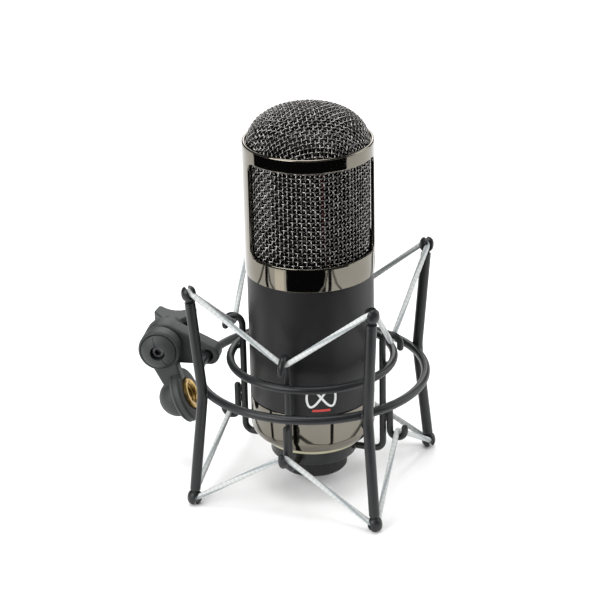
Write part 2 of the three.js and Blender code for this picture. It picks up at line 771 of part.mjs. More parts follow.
function frictionWashers() {
  return cut(disc(washerR, knuckleBack + gap, armFront - gap, 40), disc(boltR + gap, -20, 20, 20));
}

add('link_arm', linkArm(), 'plastic', swivel);
add('stand_knuckle', knuckle(), 'plastic', swivel);
add('thread_insert', threadInsert(), 'brass', swivel);
add('pivot_bolt', hingeBolt(), 'steel', swivel);
add('friction_washer', frictionWashers(), 'darkPlastic', swivel);
add('wing_nut', wingNut(), 'plastic', swivel);

export default microphone;
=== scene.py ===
import math

import bmesh
import bpy
import numpy as np
from mathutils import Matrix, Vector


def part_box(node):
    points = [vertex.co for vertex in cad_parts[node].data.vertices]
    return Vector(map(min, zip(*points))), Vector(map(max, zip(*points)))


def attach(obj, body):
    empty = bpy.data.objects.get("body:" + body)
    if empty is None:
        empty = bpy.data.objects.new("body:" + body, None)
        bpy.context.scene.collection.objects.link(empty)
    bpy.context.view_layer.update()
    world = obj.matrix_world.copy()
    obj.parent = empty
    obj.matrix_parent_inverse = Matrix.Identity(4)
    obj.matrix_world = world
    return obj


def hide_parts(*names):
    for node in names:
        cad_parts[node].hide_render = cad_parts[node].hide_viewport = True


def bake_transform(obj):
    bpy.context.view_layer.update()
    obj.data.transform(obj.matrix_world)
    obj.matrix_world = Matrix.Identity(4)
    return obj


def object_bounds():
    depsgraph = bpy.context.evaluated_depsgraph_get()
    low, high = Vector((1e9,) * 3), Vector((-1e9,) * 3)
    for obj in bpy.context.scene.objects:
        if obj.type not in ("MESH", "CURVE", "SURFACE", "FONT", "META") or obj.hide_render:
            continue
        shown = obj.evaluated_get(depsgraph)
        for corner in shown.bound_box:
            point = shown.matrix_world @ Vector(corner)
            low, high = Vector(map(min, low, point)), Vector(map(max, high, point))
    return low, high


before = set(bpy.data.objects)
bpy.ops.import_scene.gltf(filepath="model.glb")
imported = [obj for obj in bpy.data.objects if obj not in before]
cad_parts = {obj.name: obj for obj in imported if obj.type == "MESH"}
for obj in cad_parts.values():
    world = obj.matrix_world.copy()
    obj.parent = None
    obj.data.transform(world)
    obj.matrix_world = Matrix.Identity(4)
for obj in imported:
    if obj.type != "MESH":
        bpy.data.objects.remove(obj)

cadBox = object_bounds()
mm = 0.001


def unit(v):
    return v / np.linalg.norm(v, axis=-1, keepdims=True)


def polar(r, azimuth, z):
    # x = r cos a, y = r sin a, on whole arrays, azimuth in radians
    r, azimuth, z = np.broadcast_arrays(r, azimuth, z)
    return np.stack([r * np.cos(azimuth), r * np.sin(azimuth), z], -1).astype(float)


class Shell:
    # Collects surfaces given as grids of points and hands them over as one mesh.
    def __init__(self):
        self.points, self.faces, self.loops, self.count = [], [], [], 0

    def add(self, points, faces, uv=None):
        points = np.asarray(points, float).reshape(-1, 3)
        faces = np.asarray(faces, int)
        self.points.append(points)
        self.faces.append(faces + self.count)
        flat = np.zeros((len(points), 2)) if uv is None else np.asarray(uv, float).reshape(-1, 2)
        self.loops.append(flat[faces])
        self.count += len(points)
        return self

    def grid(self, points, wrapRows=False, wrapColumns=True, caps=False, uv=None):
        # Quads between neighbours of one grid (rows, columns) or of many at once (n, rows, columns).
        points = np.asarray(points, float)
        many = points.reshape((-1,) + points.shape[-3:])
        n, rows, columns, _ = many.shape
        i = np.arange(rows if wrapRows else rows - 1)
        j = np.arange(columns if wrapColumns else columns - 1)
        i, j = np.meshgrid(i, j, indexing="ij")
        k, l = (i + 1) % rows, (j + 1) % columns
        quads = np.stack([i * columns + j, i * columns + l, k * columns + l, k * columns + j], -1)
        quads = quads.reshape(1, -1, 4) + (np.arange(n) * rows * columns)[:, None, None]
        first = self.count
        self.add(many, quads.reshape(-1, 4), uv)
        if uv is not None:
            # the last quads before a seam carry on counting instead of jumping back to zero
            loops = self.loops[-1].reshape(n, *j.shape, 4, 2)
            if wrapColumns:
                loops[:, :, -1, 1:3, 0] += 1
            if wrapRows:
                loops[:, -1, :, 2:4, 1] += loops[:, -1, :, 0:1, 1] * (1 + 1 / rows)
        if caps:
            ring = np.arange(columns)
            ends = np.stack([ring, (rows - 1) * columns + ring[::-1]])
            ends = (ends[None] + (np.arange(n) * rows * columns)[:, None, None]).reshape(-1, columns)
            self.faces.append(ends + first)
            self.loops.append(np.zeros(ends.shape + (2,)))
        return self

    def lathe(self, profile, steps=96, place=None):
        # Turns (radius, height) points about Z: x = r cos a, y = r sin a, z = height.
        profile = np.asarray(profile, float)
        a = np.linspace(0, 2 * np.pi, steps, endpoint=False)
        points = polar(profile[:, :1], a[None], profile[:, 1:])
        if place is not None:
            points = moved(points, place)
        closed = np.allclose(profile[0], profile[-1])
        return self.grid(points[:-1] if closed else points, wrapRows=closed)

    def wire(self, path, radius, across, sides=12, closed=False, roundEnds=True):
        # A round section carried along a path; across is a vector that is never along the path.
        path = np.asarray(path, float)
        radius = np.broadcast_to(np.asarray(radius, float), len(path))
        if closed:
            tangent = unit(np.roll(path, -1, 0) - np.roll(path, 1, 0))
        else:
            tangent = unit(np.gradient(path, axis=0))
            if roundEnds:
                turn = np.linspace(0, np.pi / 2, 6)[1:]
                head = path[0] - tangent[0] * radius[0] * np.sin(turn)[::-1, None]
                tail = path[-1] + tangent[-1] * radius[-1] * np.sin(turn)[:, None]
                small = np.maximum(np.cos(turn), 1e-3)
                path = np.concatenate([head, path, tail])
                first, last = np.repeat(tangent[:1], 5, 0), np.repeat(tangent[-1:], 5, 0)
                tangent = np.concatenate([first, tangent, last])
                radius = np.concatenate([radius[0] * small[::-1], radius, radius[-1] * small])
        side = unit(np.cross(tangent, across))
        up = np.cross(side, tangent)
        a = np.linspace(0, 2 * np.pi, sides, endpoint=False)
        ring = side[:, None] * np.cos(a)[None, :, None] + up[:, None] * np.sin(a)[None, :, None]
        points = path[:, None] + ring * radius[:, None, None]
        along = np.r_[0, np.cumsum(np.linalg.norm(np.diff(path, axis=0), axis=1))]
        uv = np.stack(np.broadcast_arrays(a[None] / (2 * np.pi), along[:, None] / mm), -1)
        return self.grid(points, wrapRows=closed, caps=not closed, uv=uv)


def moved(points, matrix):
    # p' = R p + t for every point at once
    m = np.array(matrix)
    return points @ m[:3, :3].T + m[:3, 3]


def softened(points, radius, steps=4):
    # Each inner corner of an (r, z) outline becomes an arc of the given radius, or of its own.
    points = np.asarray(points, float)
    radii = np.broadcast_to(radius, len(points)) * mm
    out = [points[0]]
    for here, back, ahead, r in zip(points[1:-1], points[:-2], points[2:], radii[1:-1]):
        a, b = unit(back - here), unit(ahead - here)
        half = math.acos(float(np.clip(a @ b, -1, 1))) / 2
        if r == 0 or half > 1.5:
            out.append(here)
            continue
        room = min(np.linalg.norm(back - here), np.linalg.norm(ahead - here)) * 0.45
        reach = min(r / math.tan(half), room)
        t = np.linspace(0, 1, steps + 1)[:, None]
        out += list((1 - t) ** 2 * (here + a * reach) + 2 * t * (1 - t) * here + t * t * (here + b * reach))
    out.append(points[-1])
    return np.array(out)


def asMesh(name, shell, sharp=35, weld=1e-6):
    mesh = bpy.data.meshes.new(name)
    points = np.concatenate(shell.points)
    faces = [f for group in shell.faces for f in group.tolist()]
    mesh.from_pydata(points.tolist(), [], faces)
    uv = mesh.uv_layers.new(name="along")
    uv.data.foreach_set("uv", np.concatenate([l.reshape(-1, 2) for l in shell.loops]).ravel())
    closeUp(mesh, sharp, weld)
    return mesh


def closeUp(mesh, sharp=35, weld=1e-6):
    # Doubles merge, then every face turns outward, then hard edges are marked by angle.
    bm = bmesh.new()
    bm.from_mesh(mesh)
    bmesh.ops.remove_doubles(bm, verts=bm.verts, dist=weld)
    bmesh.ops.dissolve_degenerate(bm, dist=1e-8, edges=bm.edges)
    bmesh.ops.recalc_face_normals(bm, faces=bm.faces)
    bm.to_mesh(mesh)
    bm.free()
    mesh.polygons.foreach_set("use_smooth", np.ones(len(mesh.polygons), bool))
    mesh.set_sharp_from_angle(angle=math.radians(sharp))
    mesh.update()


def piece(name, source, material, body, replaces=(), sharp=35, weld=1e-6):
    mesh = asMesh(name, source, sharp, weld) if isinstance(source, Shell) else source
    mesh.name = name
    obj = bpy.data.objects.new(name, mesh)
    bpy.context.scene.collection.objects.link(obj)
    mesh.materials.clear()
    mesh.materials.append(material)
    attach(obj, body)
    if replaces:
        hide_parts(*replaces)
    return obj


def combine(base, others, how, sharp=35):
    # Joins or cuts closed meshes with the exact boolean and returns the result as one mesh.
    objects = []
    for i, mesh in enumerate([base] + others):
        obj = bpy.data.objects.new(f"part{i}", mesh)
        bpy.context.scene.collection.objects.link(obj)
        objects.append(obj)
    for other in objects[1:]:
        modifier = objects[0].modifiers.new("cut", "BOOLEAN")
        modifier.operation, modifier.object, modifier.solver = how, other, "EXACT"
    bpy.context.view_layer.update()
    result = bpy.data.meshes.new_from_object(objects[0].evaluated_get(bpy.context.evaluated_depsgraph_get()))
    for obj in objects:
        bpy.data.objects.remove(obj)
    closeUp(result, sharp)
    return result


class Wired:
    # Wraps a shader socket: + - * and / on it add Math nodes, node() adds any other.
    def __init__(self, tree, socket=None):
        self.tree, self.socket = tree, socket

    def node(self, kind, settings=(), inputs=(), output=0):
        made = self.tree.nodes.new("ShaderNode" + kind)
        for key, value in dict(settings).items():
            setattr(made, key, value)
        for key, value in dict(inputs).items():
            plug(self.tree, made.inputs[key], value)
        return Wired(self.tree, made.outputs[output])

    def calc(self, operation, *values):
        return self.node("Math", {"operation": operation}, dict(enumerate(values)))

    def noise(self, where, scale, detail=2.0, rough=0.5):
        inputs = {"Vector": where, "Scale": scale, "Detail": detail, "Roughness": rough}
        return self.node("TexNoise", {"noise_dimensions": "3D"}, inputs)

    def mix(self, first, second):
        # self is the share of the second colour
        return self.node("Mix", {"data_type": "RGBA"}, {0: self, 6: first, 7: second}, 2)

    def bump(self, distance, strength=1.0):
        return self.node("Bump", {}, {"Height": self, "Distance": distance, "Strength": strength})

    def sine(self):
        return self.calc("SINE", self)

    def between(self, low, high):
        # 0 below low, 1 above high, smooth in between
        inputs = {"Value": self, "From Min": low, "From Max": high, "To Min": 0.0, "To Max": 1.0}
        return self.node("MapRange", {"interpolation_type": "SMOOTHSTEP"}, inputs)

    def __add__(self, other): return self.calc("ADD", self, other)
    def __radd__(self, other): return self.calc("ADD", other, self)
    def __sub__(self, other): return self.calc("SUBTRACT", self, other)
    def __rsub__(self, other): return self.calc("SUBTRACT", other, self)
    def __mul__(self, other): return self.calc("MULTIPLY", self, other)
    def __rmul__(self, other): return self.calc("MULTIPLY", other, self)
    def __truediv__(self, other): return self.calc("DIVIDE", self, other)
    def __rtruediv__(self, other): return self.calc("DIVIDE", other, self)


def plug(tree, socket, value):
    if isinstance(value, Wired):
        tree.links.new(value.socket, socket)
    elif isinstance(value, tuple) and len(value) == 3 and len(socket.default_value) == 4:
        socket.default_value = value + (1.0,)
    else:
        socket.default_value = value


class Finish:
    # A material whose Principled sockets are set by name, plus its object and path coordinates.
    def __init__(self, name, **fixed):
        self.material = bpy.data.materials.new(name)
        self.material.use_nodes = True
        self.tree = self.material.node_tree
        self.shader = self.tree.nodes["Principled BSDF"]
        self.w = Wired(self.tree)
        self.at = self.w.node("TexCoord", output=3)
        self.set(**fixed)

    def set(self, **values):
        names = {"colour": "Base Color", "rough": "Roughness", "metal": "Metallic", "normal": "Normal",
                 "sheen": "Sheen Weight", "specular": "Specular IOR Level", "alpha": "Alpha",
                 "glow": "Emission Strength", "glowColour": "Emission Color"}
        for key, value in values.items():
            plug(self.tree, self.shader.inputs[names[key]], value)
        return self

    def uv(self):
        split = self.tree.nodes.new("ShaderNodeSeparateXYZ")
        uv = self.w.node("UVMap", {"uv_map": "along"})
        self.tree.links.new(uv.socket, split.inputs[0])
        return Wired(self.tree, split.outputs[0]), Wired(self.tree, split.outputs[1])


# finishes: each varies colour and gloss with noise on the object's own coordinates
def blackNickel():
    f = Finish("blackNickel", metal=1.0)
    haze = f.w.noise(f.at, 55, 3)
    specks = f.w.noise(f.at, 1400, 2)
    wave = f.w.noise(f.at, 90, 1)
    f.set(colour=haze.mix((0.15, 0.138, 0.114), (0.2, 0.185, 0.155)),
          rough=0.03 + 0.05 * haze + 0.03 * specks,
          normal=wave.bump(0.00004, 0.25))
    return f.material


def wovenWire():
    f = Finish("wovenWire", metal=1.0)
    tone = f.w.noise(f.at, 420, 3)
    fine = f.w.noise(f.at, 5200, 1)
    f.set(colour=tone.between(0.3, 0.7).mix((0.09, 0.088, 0.085), (0.34, 0.33, 0.315)),
          rough=0.1 + 0.12 * fine)
    return f.material


def bodyLacquer():
    f = Finish("bodyLacquer", specular=0.3)
    grain = f.w.noise(f.at, 5200, 2)
    cloud = f.w.noise(f.at, 70, 3)
    f.set(colour=cloud.mix((0.0065, 0.0065, 0.0072), (0.0105, 0.0105, 0.011)),
          rough=0.34 + 0.1 * cloud + 0.06 * grain,
          normal=grain.bump(0.00002, 0.5))
    return f.material


def cagePaint():
    f = Finish("cagePaint", specular=0.38)
    peel = f.w.noise(f.at, 1500, 2)
    cloud = f.w.noise(f.at, 120, 3)
    dust = f.w.noise(f.at, 6500, 1).between(0.74, 0.82)
    f.set(colour=dust.mix(cloud.mix((0.008, 0.0085, 0.0095), (0.014, 0.015, 0.016)), (0.09, 0.09, 0.09)),
          rough=0.28 + 0.12 * cloud + 0.05 * peel,
          normal=peel.bump(0.00004, 0.45))
    return f.material


def moulded(name, dark, light, rough=0.42):
    f = Finish(name, specular=0.38)
    grain = f.w.noise(f.at, 3800, 2)
    cloud = f.w.noise(f.at, 150, 4)
    f.set(colour=cloud.mix(dark, light), rough=rough + 0.12 * cloud + 0.08 * grain,
          normal=grain.bump(0.00003, 0.6))
    return f.material


def machined(name, dark, light, rough=0.22):
    # fine rings left by the tool, plus tarnish
    f = Finish(name, metal=1.0)
    tarnish = f.w.noise(f.at, 240, 4)
    lines = f.w.noise(f.at, 7000, 1)
    f.set(colour=tarnish.between(0.35, 0.7).mix(dark, light), rough=rough + 0.2 * tarnish,
          normal=lines.bump(0.00001, 0.35))
    return f.material


def braidedCover():
    # two families of strands wind round the cord in opposite directions; v runs along it in mm
    f = Finish("braidedCover", sheen=0.2)
    u, v = f.uv()
    turn = 2 * math.pi
    left = ((u * 5 + v / 4.4) * turn).sine()
    right = ((u * 5 - v / 4.4) * turn).sine()
    weave = (left * right) * 0.5 + 0.5
    fuzz = f.w.noise(f.at, 9000, 2)
    streak = ((u * 2 + v / 46) * turn).sine().between(0.15, 0.95)
    # the colour follows the weave's height: raised strands lighter, the dips between them darker as painted shade
    pale = weave.mix((0.40, 0.42, 0.41), (0.55, 0.57, 0.56))
    f.set(colour=(streak * 0.75).mix(pale, (0.17, 0.2, 0.215)),
          rough=0.45 + 0.2 * fuzz,
          normal=(weave + fuzz * 0.4).bump(0.00004, 0.5))
    return f.material


def insulation(name, dark, light):
    f = Finish(name, specular=0.4)
    cloud = f.w.noise(f.at, 600, 3)
    f.set(colour=cloud.mix(dark, light), rough=0.35 + 0.2 * cloud)
    return f.material


def foil():
    f = Finish("ribbonFoil", metal=1.0)
    cloud = f.w.noise(f.at, 500, 3)
    f.set(colour=cloud.mix((0.2, 0.19, 0.17), (0.36, 0.34, 0.3)), rough=0.18 + 0.2 * cloud)
    return f.material


def paperFloor():
    f = Finish("paperFloor", rough=0.9, specular=0.2)
    tooth = f.w.noise(f.at, 60, 4)
    f.set(colour=tooth.mix((0.86, 0.86, 0.86), (0.9, 0.9, 0.9)))
    return f.material


finishes = {
    "nickel": blackNickel(), "mesh": wovenWire(), "body": bodyLacquer(), "cage": cagePaint(),
    "grey": moulded("mouldedGrey", (0.02, 0.023, 0.0225), (0.034, 0.038, 0.037)),
    "black": moulded("mouldedBlack", (0.007, 0.007, 0.0075), (0.014, 0.014, 0.015), 0.36),
    "cream": moulded("creamRing", (0.42, 0.40, 0.27), (0.56, 0.53, 0.38), 0.5),
    "brass": machined("turnedBrass", (0.36, 0.22, 0.06), (0.72, 0.5, 0.18)),
    "steel": machined("turnedSteel", (0.4, 0.4, 0.39), (0.62, 0.62, 0.6)),
    # dark turned steel: the pivot bolt's black oxide is real; on the plated parts inside the head it is painted
    # shade
    "blackOxideAndShade": machined("blackOxideSteelAndShade", (0.05, 0.05, 0.055), (0.1, 0.1, 0.105), 0.32),
    "braid": braidedCover(), "foil": foil(),
    "red": insulation("redLead", (0.25, 0.01, 0.008), (0.42, 0.025, 0.02)),
    "dark": insulation("darkLead", (0.012, 0.012, 0.012), (0.03, 0.03, 0.03)),
    "printPale": insulation("printPale", (0.62, 0.63, 0.62), (0.74, 0.75, 0.74)),
    "printRed": insulation("printRed", (0.42, 0.03, 0.03), (0.55, 0.05, 0.045)),
}
print("finishes made")


headLow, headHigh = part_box("head_frame")
headR, seam, rimTop = headHigh.x, headLow.z, headHigh.z


def azimuthOf(node):
    low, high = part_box(node)
    return math.atan2((low.y + high.y) / 2, (low.x + high.x) / 2)


hookAzimuth = azimuthOf("lower_hook_1")      # the cage's own X direction
postAzimuth = azimuthOf("post_1")


frameLook = {
    "wall": 1.5, "windowHalf": 72, "corner": 3.5, "edge": 0.35,       # mm, degrees
    "sill": 10.9, "lintel": 6.3, "rimSoft": 0.7, "footSoft": 0.3,
}


def windowOutline(grow, steps):
    # Rounded rectangle in the unrolled wall, (distance round the wall, height), counter-clockwise.
    look = frameLook
    a = math.radians(look["windowHalf"]) * headR + grow
    low = seam + look["sill"] * mm - grow
    high = rimTop - look["lintel"] * mm + grow
    r = look["corner"] * mm + grow
    flat, tall, bend = steps
    across = np.linspace(-1, 1, flat + 1)[1:-1] * (a - r)
    rise = np.linspace(0, 1, tall + 1)[1:-1] * (high - low - 2 * r) + low + r
    turn = np.linspace(0, np.pi / 2, bend + 1)

    def arc(x, z, start):
        return np.stack([x + r * np.cos(start + turn), z + r * np.sin(start + turn)], 1)
    column = lambda x, zs: np.stack([np.full_like(zs, x), zs], 1)
    row = lambda xs, z: np.stack([xs, np.full_like(xs, z)], 1)
    return np.concatenate([
        row(across, low), arc(a - r, low + r, -np.pi / 2), column(a, rise), arc(a - r, high - r, 0),
        row(across[::-1], high), arc(r - a, high - r, np.pi / 2), column(-a, rise[::-1]),
        arc(r - a, low + r, np.pi)])


def quarterOutline(inner, steps, low, high):
    # The edge of this half of the wall, point for point against the window's outline.
    flat, tall, bend = steps
    side = np.pi / 2 * headR
    a = inner[flat - 1, 0]
    half = bend // 2
    run = np.linspace(0, 1, half + 1)
    x0, x1 = inner[flat - 1, 0], side
    zLow, zHigh = inner[flat - 1 + bend, 1], inner[flat - 1 + bend + tall, 1]
    outer = inner.copy()
    c1 = slice(flat - 1, flat + bend)
    c2 = slice(flat + bend + tall - 1, flat + 2 * bend + tall)
    cornerLow = np.concatenate([
        np.stack([x0 + (x1 - x0) * run, np.full(half + 1, low)], 1),
        np.stack([np.full(half, x1), low + (zLow - low) * run[1:]], 1)])
    cornerHigh = np.concatenate([
        np.stack([np.full(half + 1, x1), zHigh + (high - zHigh) * run], 1),
        np.stack([x1 + (x0 - x1) * run[1:], np.full(half, high)], 1)])
    outer[:flat - 1, 1] = low
    outer[c1] = cornerLow
    outer[flat + bend:flat + bend + tall - 1, 0] = side
    outer[c2] = cornerHigh
    start = flat + 2 * bend + tall
    outer[start:start + flat - 1, 1] = high
    mirrored = lambda block: block[::-1] * [-1, 1]
    start += flat - 1
    outer[start:start + bend + 1] = mirrored(cornerHigh)
    start += bend + 1
    outer[start:start + tall - 1, 0] = -side
    start += tall - 1
    outer[start:] = mirrored(cornerLow)
    return outer


def headFrame():
    # Rows run from the half wall's edge to the window, round its lip, and back along the inside.
    look = frameLook
    steps = (64, 14, 8)
    edge, wall = look["edge"] * mm, look["wall"] * mm
    low, high = seam + look["footSoft"] * mm, rimTop - look["rimSoft"] * mm
    lip = windowOutline(edge, steps)
    outer = quarterOutline(lip, steps, low, high)
    rows, depths = [], []
    for share in (0, 0.3, 0.6, 0.82, 0.94, 1):
        rows.append(outer + (lip - outer) * share)
        depths.append(0)
    for angle in np.radians([22.5, 45, 67.5, 90]):
        rows.append(windowOutline(edge * (1 - math.sin(angle)), steps))
        depths.append(edge * (1 - math.cos(angle)))
    for angle in np.radians([90, 60, 30, 0]):
        rows.append(windowOutline(edge * (1 - math.sin(angle)), steps))
        depths.append(wall - edge * (1 - math.cos(angle)))
    for share in (0.85, 0.5, 0):
        rows.append(outer + (lip - outer) * share)
        depths.append(wall)
    flat, depth = np.array(rows), np.array(depths)[:, None]
    shell = Shell()
    for facing in (-np.pi / 2, np.pi / 2):
        shell.grid(polar(headR - depth, facing + flat[..., 0] / headR, flat[..., 1]))
    # the rim and the foot close the wall all the way round
    across = outer[np.isclose(outer[:, 1], high), 0] / headR
    turn = np.unique(np.round(np.concatenate([across - np.pi / 2, across + np.pi / 2]), 9))[:-1]
    for z, way, soft in ((high, 1, look["rimSoft"] * mm), (low, -1, look["footSoft"] * mm)):
        a = np.radians([0, 22.5, 45, 67.5, 90])
        inSoft = min(soft, wall - soft)
        r = np.r_[headR - soft * (1 - np.cos(a)), headR - wall + inSoft * (1 - np.sin(a))]
        h = np.r_[soft * np.sin(a), soft * np.cos(a)] * way
        shell.grid(polar(r[:, None], turn[None], z + h[:, None]))
    return shell


meshLook = {                              # mm, wire as a radius, overlap in degrees
    "pitch": 1.98, "wire": 0.34, "perPitch": 5, "sides": 8, "margin": 1.6, "overlap": 4, "inset": 2.2,
}
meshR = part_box("side_grille")[1].x


def weave(centre, outward, wave):
    # Wires of a plain weave: each centre line swings out and in by a wire's radius at every crossing.
    look = meshLook
    r = look["wire"] * mm
    path = centre + outward * (wave * r)[..., None]
    tangent = unit(np.gradient(path, axis=-2))
    side = unit(np.cross(tangent, outward))
    up = np.cross(side, tangent)
    a = np.linspace(0, 2 * np.pi, look["sides"], endpoint=False)
    ring = side[..., None, :] * np.cos(a)[:, None] + up[..., None, :] * np.sin(a)[:, None]
    return path[..., None, :] + ring * r


def sideGrille(facing):
    # Upright wires at even azimuths and hoops at even heights, over one window.
    look = meshLook
    pitch, r = look["pitch"] * mm, meshR - look["inset"] * look["wire"] * mm
    low = seam + (frameLook["sill"] - look["margin"]) * mm
    high = rimTop - (frameLook["lintel"] - look["margin"]) * mm
    half = math.radians(frameLook["windowHalf"] + look["overlap"])
    rise = np.arange(low, high, pitch)
    turn = np.arange(-half, half, pitch / r)
    shell = Shell()
    z = np.linspace(low, high, int((high - low) / pitch * look["perPitch"]))
    a = facing + turn[:, None] + 0 * z
    out = polar(1, a, 0)
    centre = polar(r, a, z[None])
    swing = np.cos(np.pi * ((z - low) / pitch + np.arange(len(turn))[:, None]))
    shell.grid(weave(centre, out, swing), caps=True)
    t = np.linspace(-half, half, int(2 * half * r / pitch * look["perPitch"]))
    a = facing + t[None] + 0 * rise[:, None]
    out = polar(1, a, 0)
    centre = polar(r, a, rise[:, None])
    swing = -np.cos(np.pi * ((t + half) * r / pitch + np.arange(len(rise))[:, None]))
    shell.grid(weave(centre, out, swing), caps=True)
    return shell


domeLook = {"power": 2.2}      # 2 would be an ellipse


def domeGrille():
    # A flat weave pressed over the dome: distance from its centre becomes distance down the side.
    look = meshLook
    low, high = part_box("dome_grille")
    pitch, wire = look["pitch"] * mm, look["wire"] * mm
    baseR, tall = high.x - 2 * wire, high.z - 2 * wire - low.z
    s = np.linspace(np.pi / 2, 0, 400)
    profile = np.stack([baseR * np.cos(s) ** (2 / domeLook["power"]),
                        low.z + tall * np.sin(s) ** (2 / domeLook["power"])], 1)
    run = np.r_[0, np.cumsum(np.linalg.norm(np.diff(profile, axis=0), axis=1))]
    slope = unit(np.gradient(profile, axis=0))
    reach = run[-1]
    shell = Shell()
    for swap in (False, True):
        for i in range(-int(reach / pitch), int(reach / pitch) + 1):
            offset = i * pitch
            if reach ** 2 - offset ** 2 < (2 * pitch) ** 2:
                continue
            span = math.sqrt(reach ** 2 - offset ** 2)
            t = np.linspace(-span, span, int(2 * span / pitch * look["perPitch"]))
            u, v = (np.full_like(t, offset), t) if swap else (t, np.full_like(t, offset))
            far, a = np.hypot(u, v), np.arctan2(v, u)
            r, z = np.interp(far, run, profile[:, 0]), np.interp(far, run, profile[:, 1])
            nr, nz = -np.interp(far, run, slope[:, 1]), np.interp(far, run, slope[:, 0])
            out = unit(polar(nr, a, nz))
            swing = np.cos(np.pi * (t / pitch + i)) * (-1 if swap else 1)
            shell.grid(weave(polar(r, a, z), out, swing)[None], caps=True)
    return shell


liningLook = {"inset": 1.9, "thick": 0.15, "cover": 0.44}      # mm, mm, how much each side hides


def innerLining():
    # A dark gauze tube and cap inside the wires: the dome's curve set in, carried down as a tube.
    look = liningLook
    low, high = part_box("dome_grille")
    foot = seam + (frameLook["sill"] - meshLook["margin"]) * mm
    s = np.linspace(0, np.pi / 2, 40)

    def skin(inset):
        r, tall = high.x - inset * mm, high.z - low.z - inset * mm
        across, rise = np.abs(np.cos(s)) ** (2 / domeLook["power"]), np.sin(s) ** (2 / domeLook["power"])
        across[-1] = 0
        return np.concatenate([[(r, foot)], np.stack([r * across, low.z + tall * rise], 1)])
    outer, inner = skin(look["inset"]), skin(look["inset"] + look["thick"])
    shell = Shell()
    for wall in (outer, inner, np.array([outer[0], inner[0]])):
        shell.lathe(wall, 96)
    return shell


def gauze():
    f = Finish("gauze", rough=0.85, specular=0.1, alpha=liningLook["cover"])
    cloud = f.w.noise(f.at, 900, 2)
    f.set(colour=cloud.mix((0.008, 0.008, 0.008), (0.02, 0.019, 0.018)))
    return f.material


piece("innerLining", innerLining(), gauze(), "cradle", [], 60)
piece("headFrame", headFrame(), finishes["nickel"], "cradle", ["head_frame"], 50)
piece("frontGrille", sideGrille(-np.pi / 2), finishes["mesh"], "cradle", ["side_grille"], 80)
piece("backGrille", sideGrille(np.pi / 2), finishes["mesh"], "cradle", [], 80)
piece("domeGrille", domeGrille(), finishes["mesh"], "cradle", ["dome_grille"], 80)
print("head made")


def rounded(corners, bends, steps=8, spacing=None):
    # A polyline whose corners are arcs: each arc's centre lies on the corner's bisector.
    corners = np.asarray(corners, float)
    bends = np.broadcast_to(bends, len(corners))
    points = [corners[:1]]
    for back, here, ahead, bend in zip(corners[:-2], corners[1:-1], corners[2:], bends[1:-1]):
        a, b = unit(back - here), unit(ahead - here)
        half = math.acos(float(np.clip(a @ b, -1, 1))) / 2
        centre = here + unit(a + b) * bend / math.sin(half)
        start = here + a * bend / math.tan(half) - centre
        end = here + b * bend / math.tan(half) - centre
        sweep = math.pi - 2 * half
        t = np.linspace(0, 1, steps + 1)[:, None]
        swung = start * np.sin(sweep * (1 - t)) + end * np.sin(sweep * t)
        points.append(centre + swung / math.sin(sweep))
    points.append(corners[-1:])
    path = np.concatenate(points)
    return spaced(path, spacing) if spacing else path


def spaced(path, step):
    # The same path with its points an even step apart.
    run = np.r_[0, np.cumsum(np.linalg.norm(np.diff(path, axis=0), axis=1))]
    at = np.linspace(0, run[-1], max(int(run[-1] / step), 2) + 1)
    return np.stack([np.interp(at, run, path[:, k]) for k in range(3)], 1)


def bead(shell, at, size, turn=0.0, rows=10, columns=16):
    # A weld's lump: an ellipsoid with three half sizes, turned about Z.
    v = np.linspace(0, np.pi, rows + 1)[:, None]
    u = np.linspace(0, 2 * np.pi, columns, endpoint=False)[None]
    ripple = 1 + 0.05 * np.sin(3 * u + 2 * v)
    x, y = np.sin(v) * np.cos(u) * ripple, np.sin(v) * np.sin(u) * ripple
    unitBall = np.stack(np.broadcast_arrays(x, y, np.cos(v)), -1)
    place = Matrix.Translation(at) @ Matrix.Rotation(turn, 4, "Z")
    shell.grid(moved(unitBall * np.asarray(size), place))
    return shell


# body: a lacquered tube, a plated end cap, the pale ring and the nut below it
bodyLook = {"wall": 1.8, "edge": 0.3, "shoulder": 9.5, "footR": 22.3, "bore": 12.3}      # mm
bore = bodyLook["bore"] * mm          # clears the threaded base
connectorLook = {"tipRound": 0.7, "skirt": 1.6, "step": 0.5}
nutLook = {"ribs": 120, "ribDepth": 0.28, "chamfer": 1.0, "edge": 0.4}


def sleeveProfile(node, inner, soft):
    # Rectangle of a sleeve's wall with rounded edges, from the CAD node's box.
    low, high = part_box(node)
    middle = (inner, (low.z + high.z) / 2)
    corners = [(inner, low.z), (high.x, low.z), (high.x, high.z), (inner, high.z)]
    return softened([middle] + corners + [middle], soft)


def bodyTube():
    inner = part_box("body_tube")[1].x - bodyLook["wall"] * mm
    return Shell().lathe(sleeveProfile("body_tube", inner, bodyLook["edge"]), 144)


def endCap():
    # The lower corner is a quarter ellipse from the shoulder down to the flat foot.
    low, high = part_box("end_cap")
    r, wall = high.x, bodyLook["wall"] * mm
    shoulder, foot = bodyLook["shoulder"] * mm, bodyLook["footR"] * mm
    a = np.linspace(0, np.pi / 2, 20)

    def corner(r, foot, bottom):
        return np.stack([foot + (r - foot) * np.cos(a), shoulder - (shoulder - bottom) * np.sin(a)], 1)
    top = softened([(r - wall, shoulder), (r - wall, high.z), (r, high.z), (r, shoulder)], bodyLook["edge"])
    outer = corner(r, foot, low.z)
    inner = corner(r - wall, foot - mm, low.z + wall)[::-1]
    profile = np.concatenate([top[:-1], outer, [(bore, low.z), (bore, low.z + wall)], inner])
    return Shell().lathe(profile, 144)


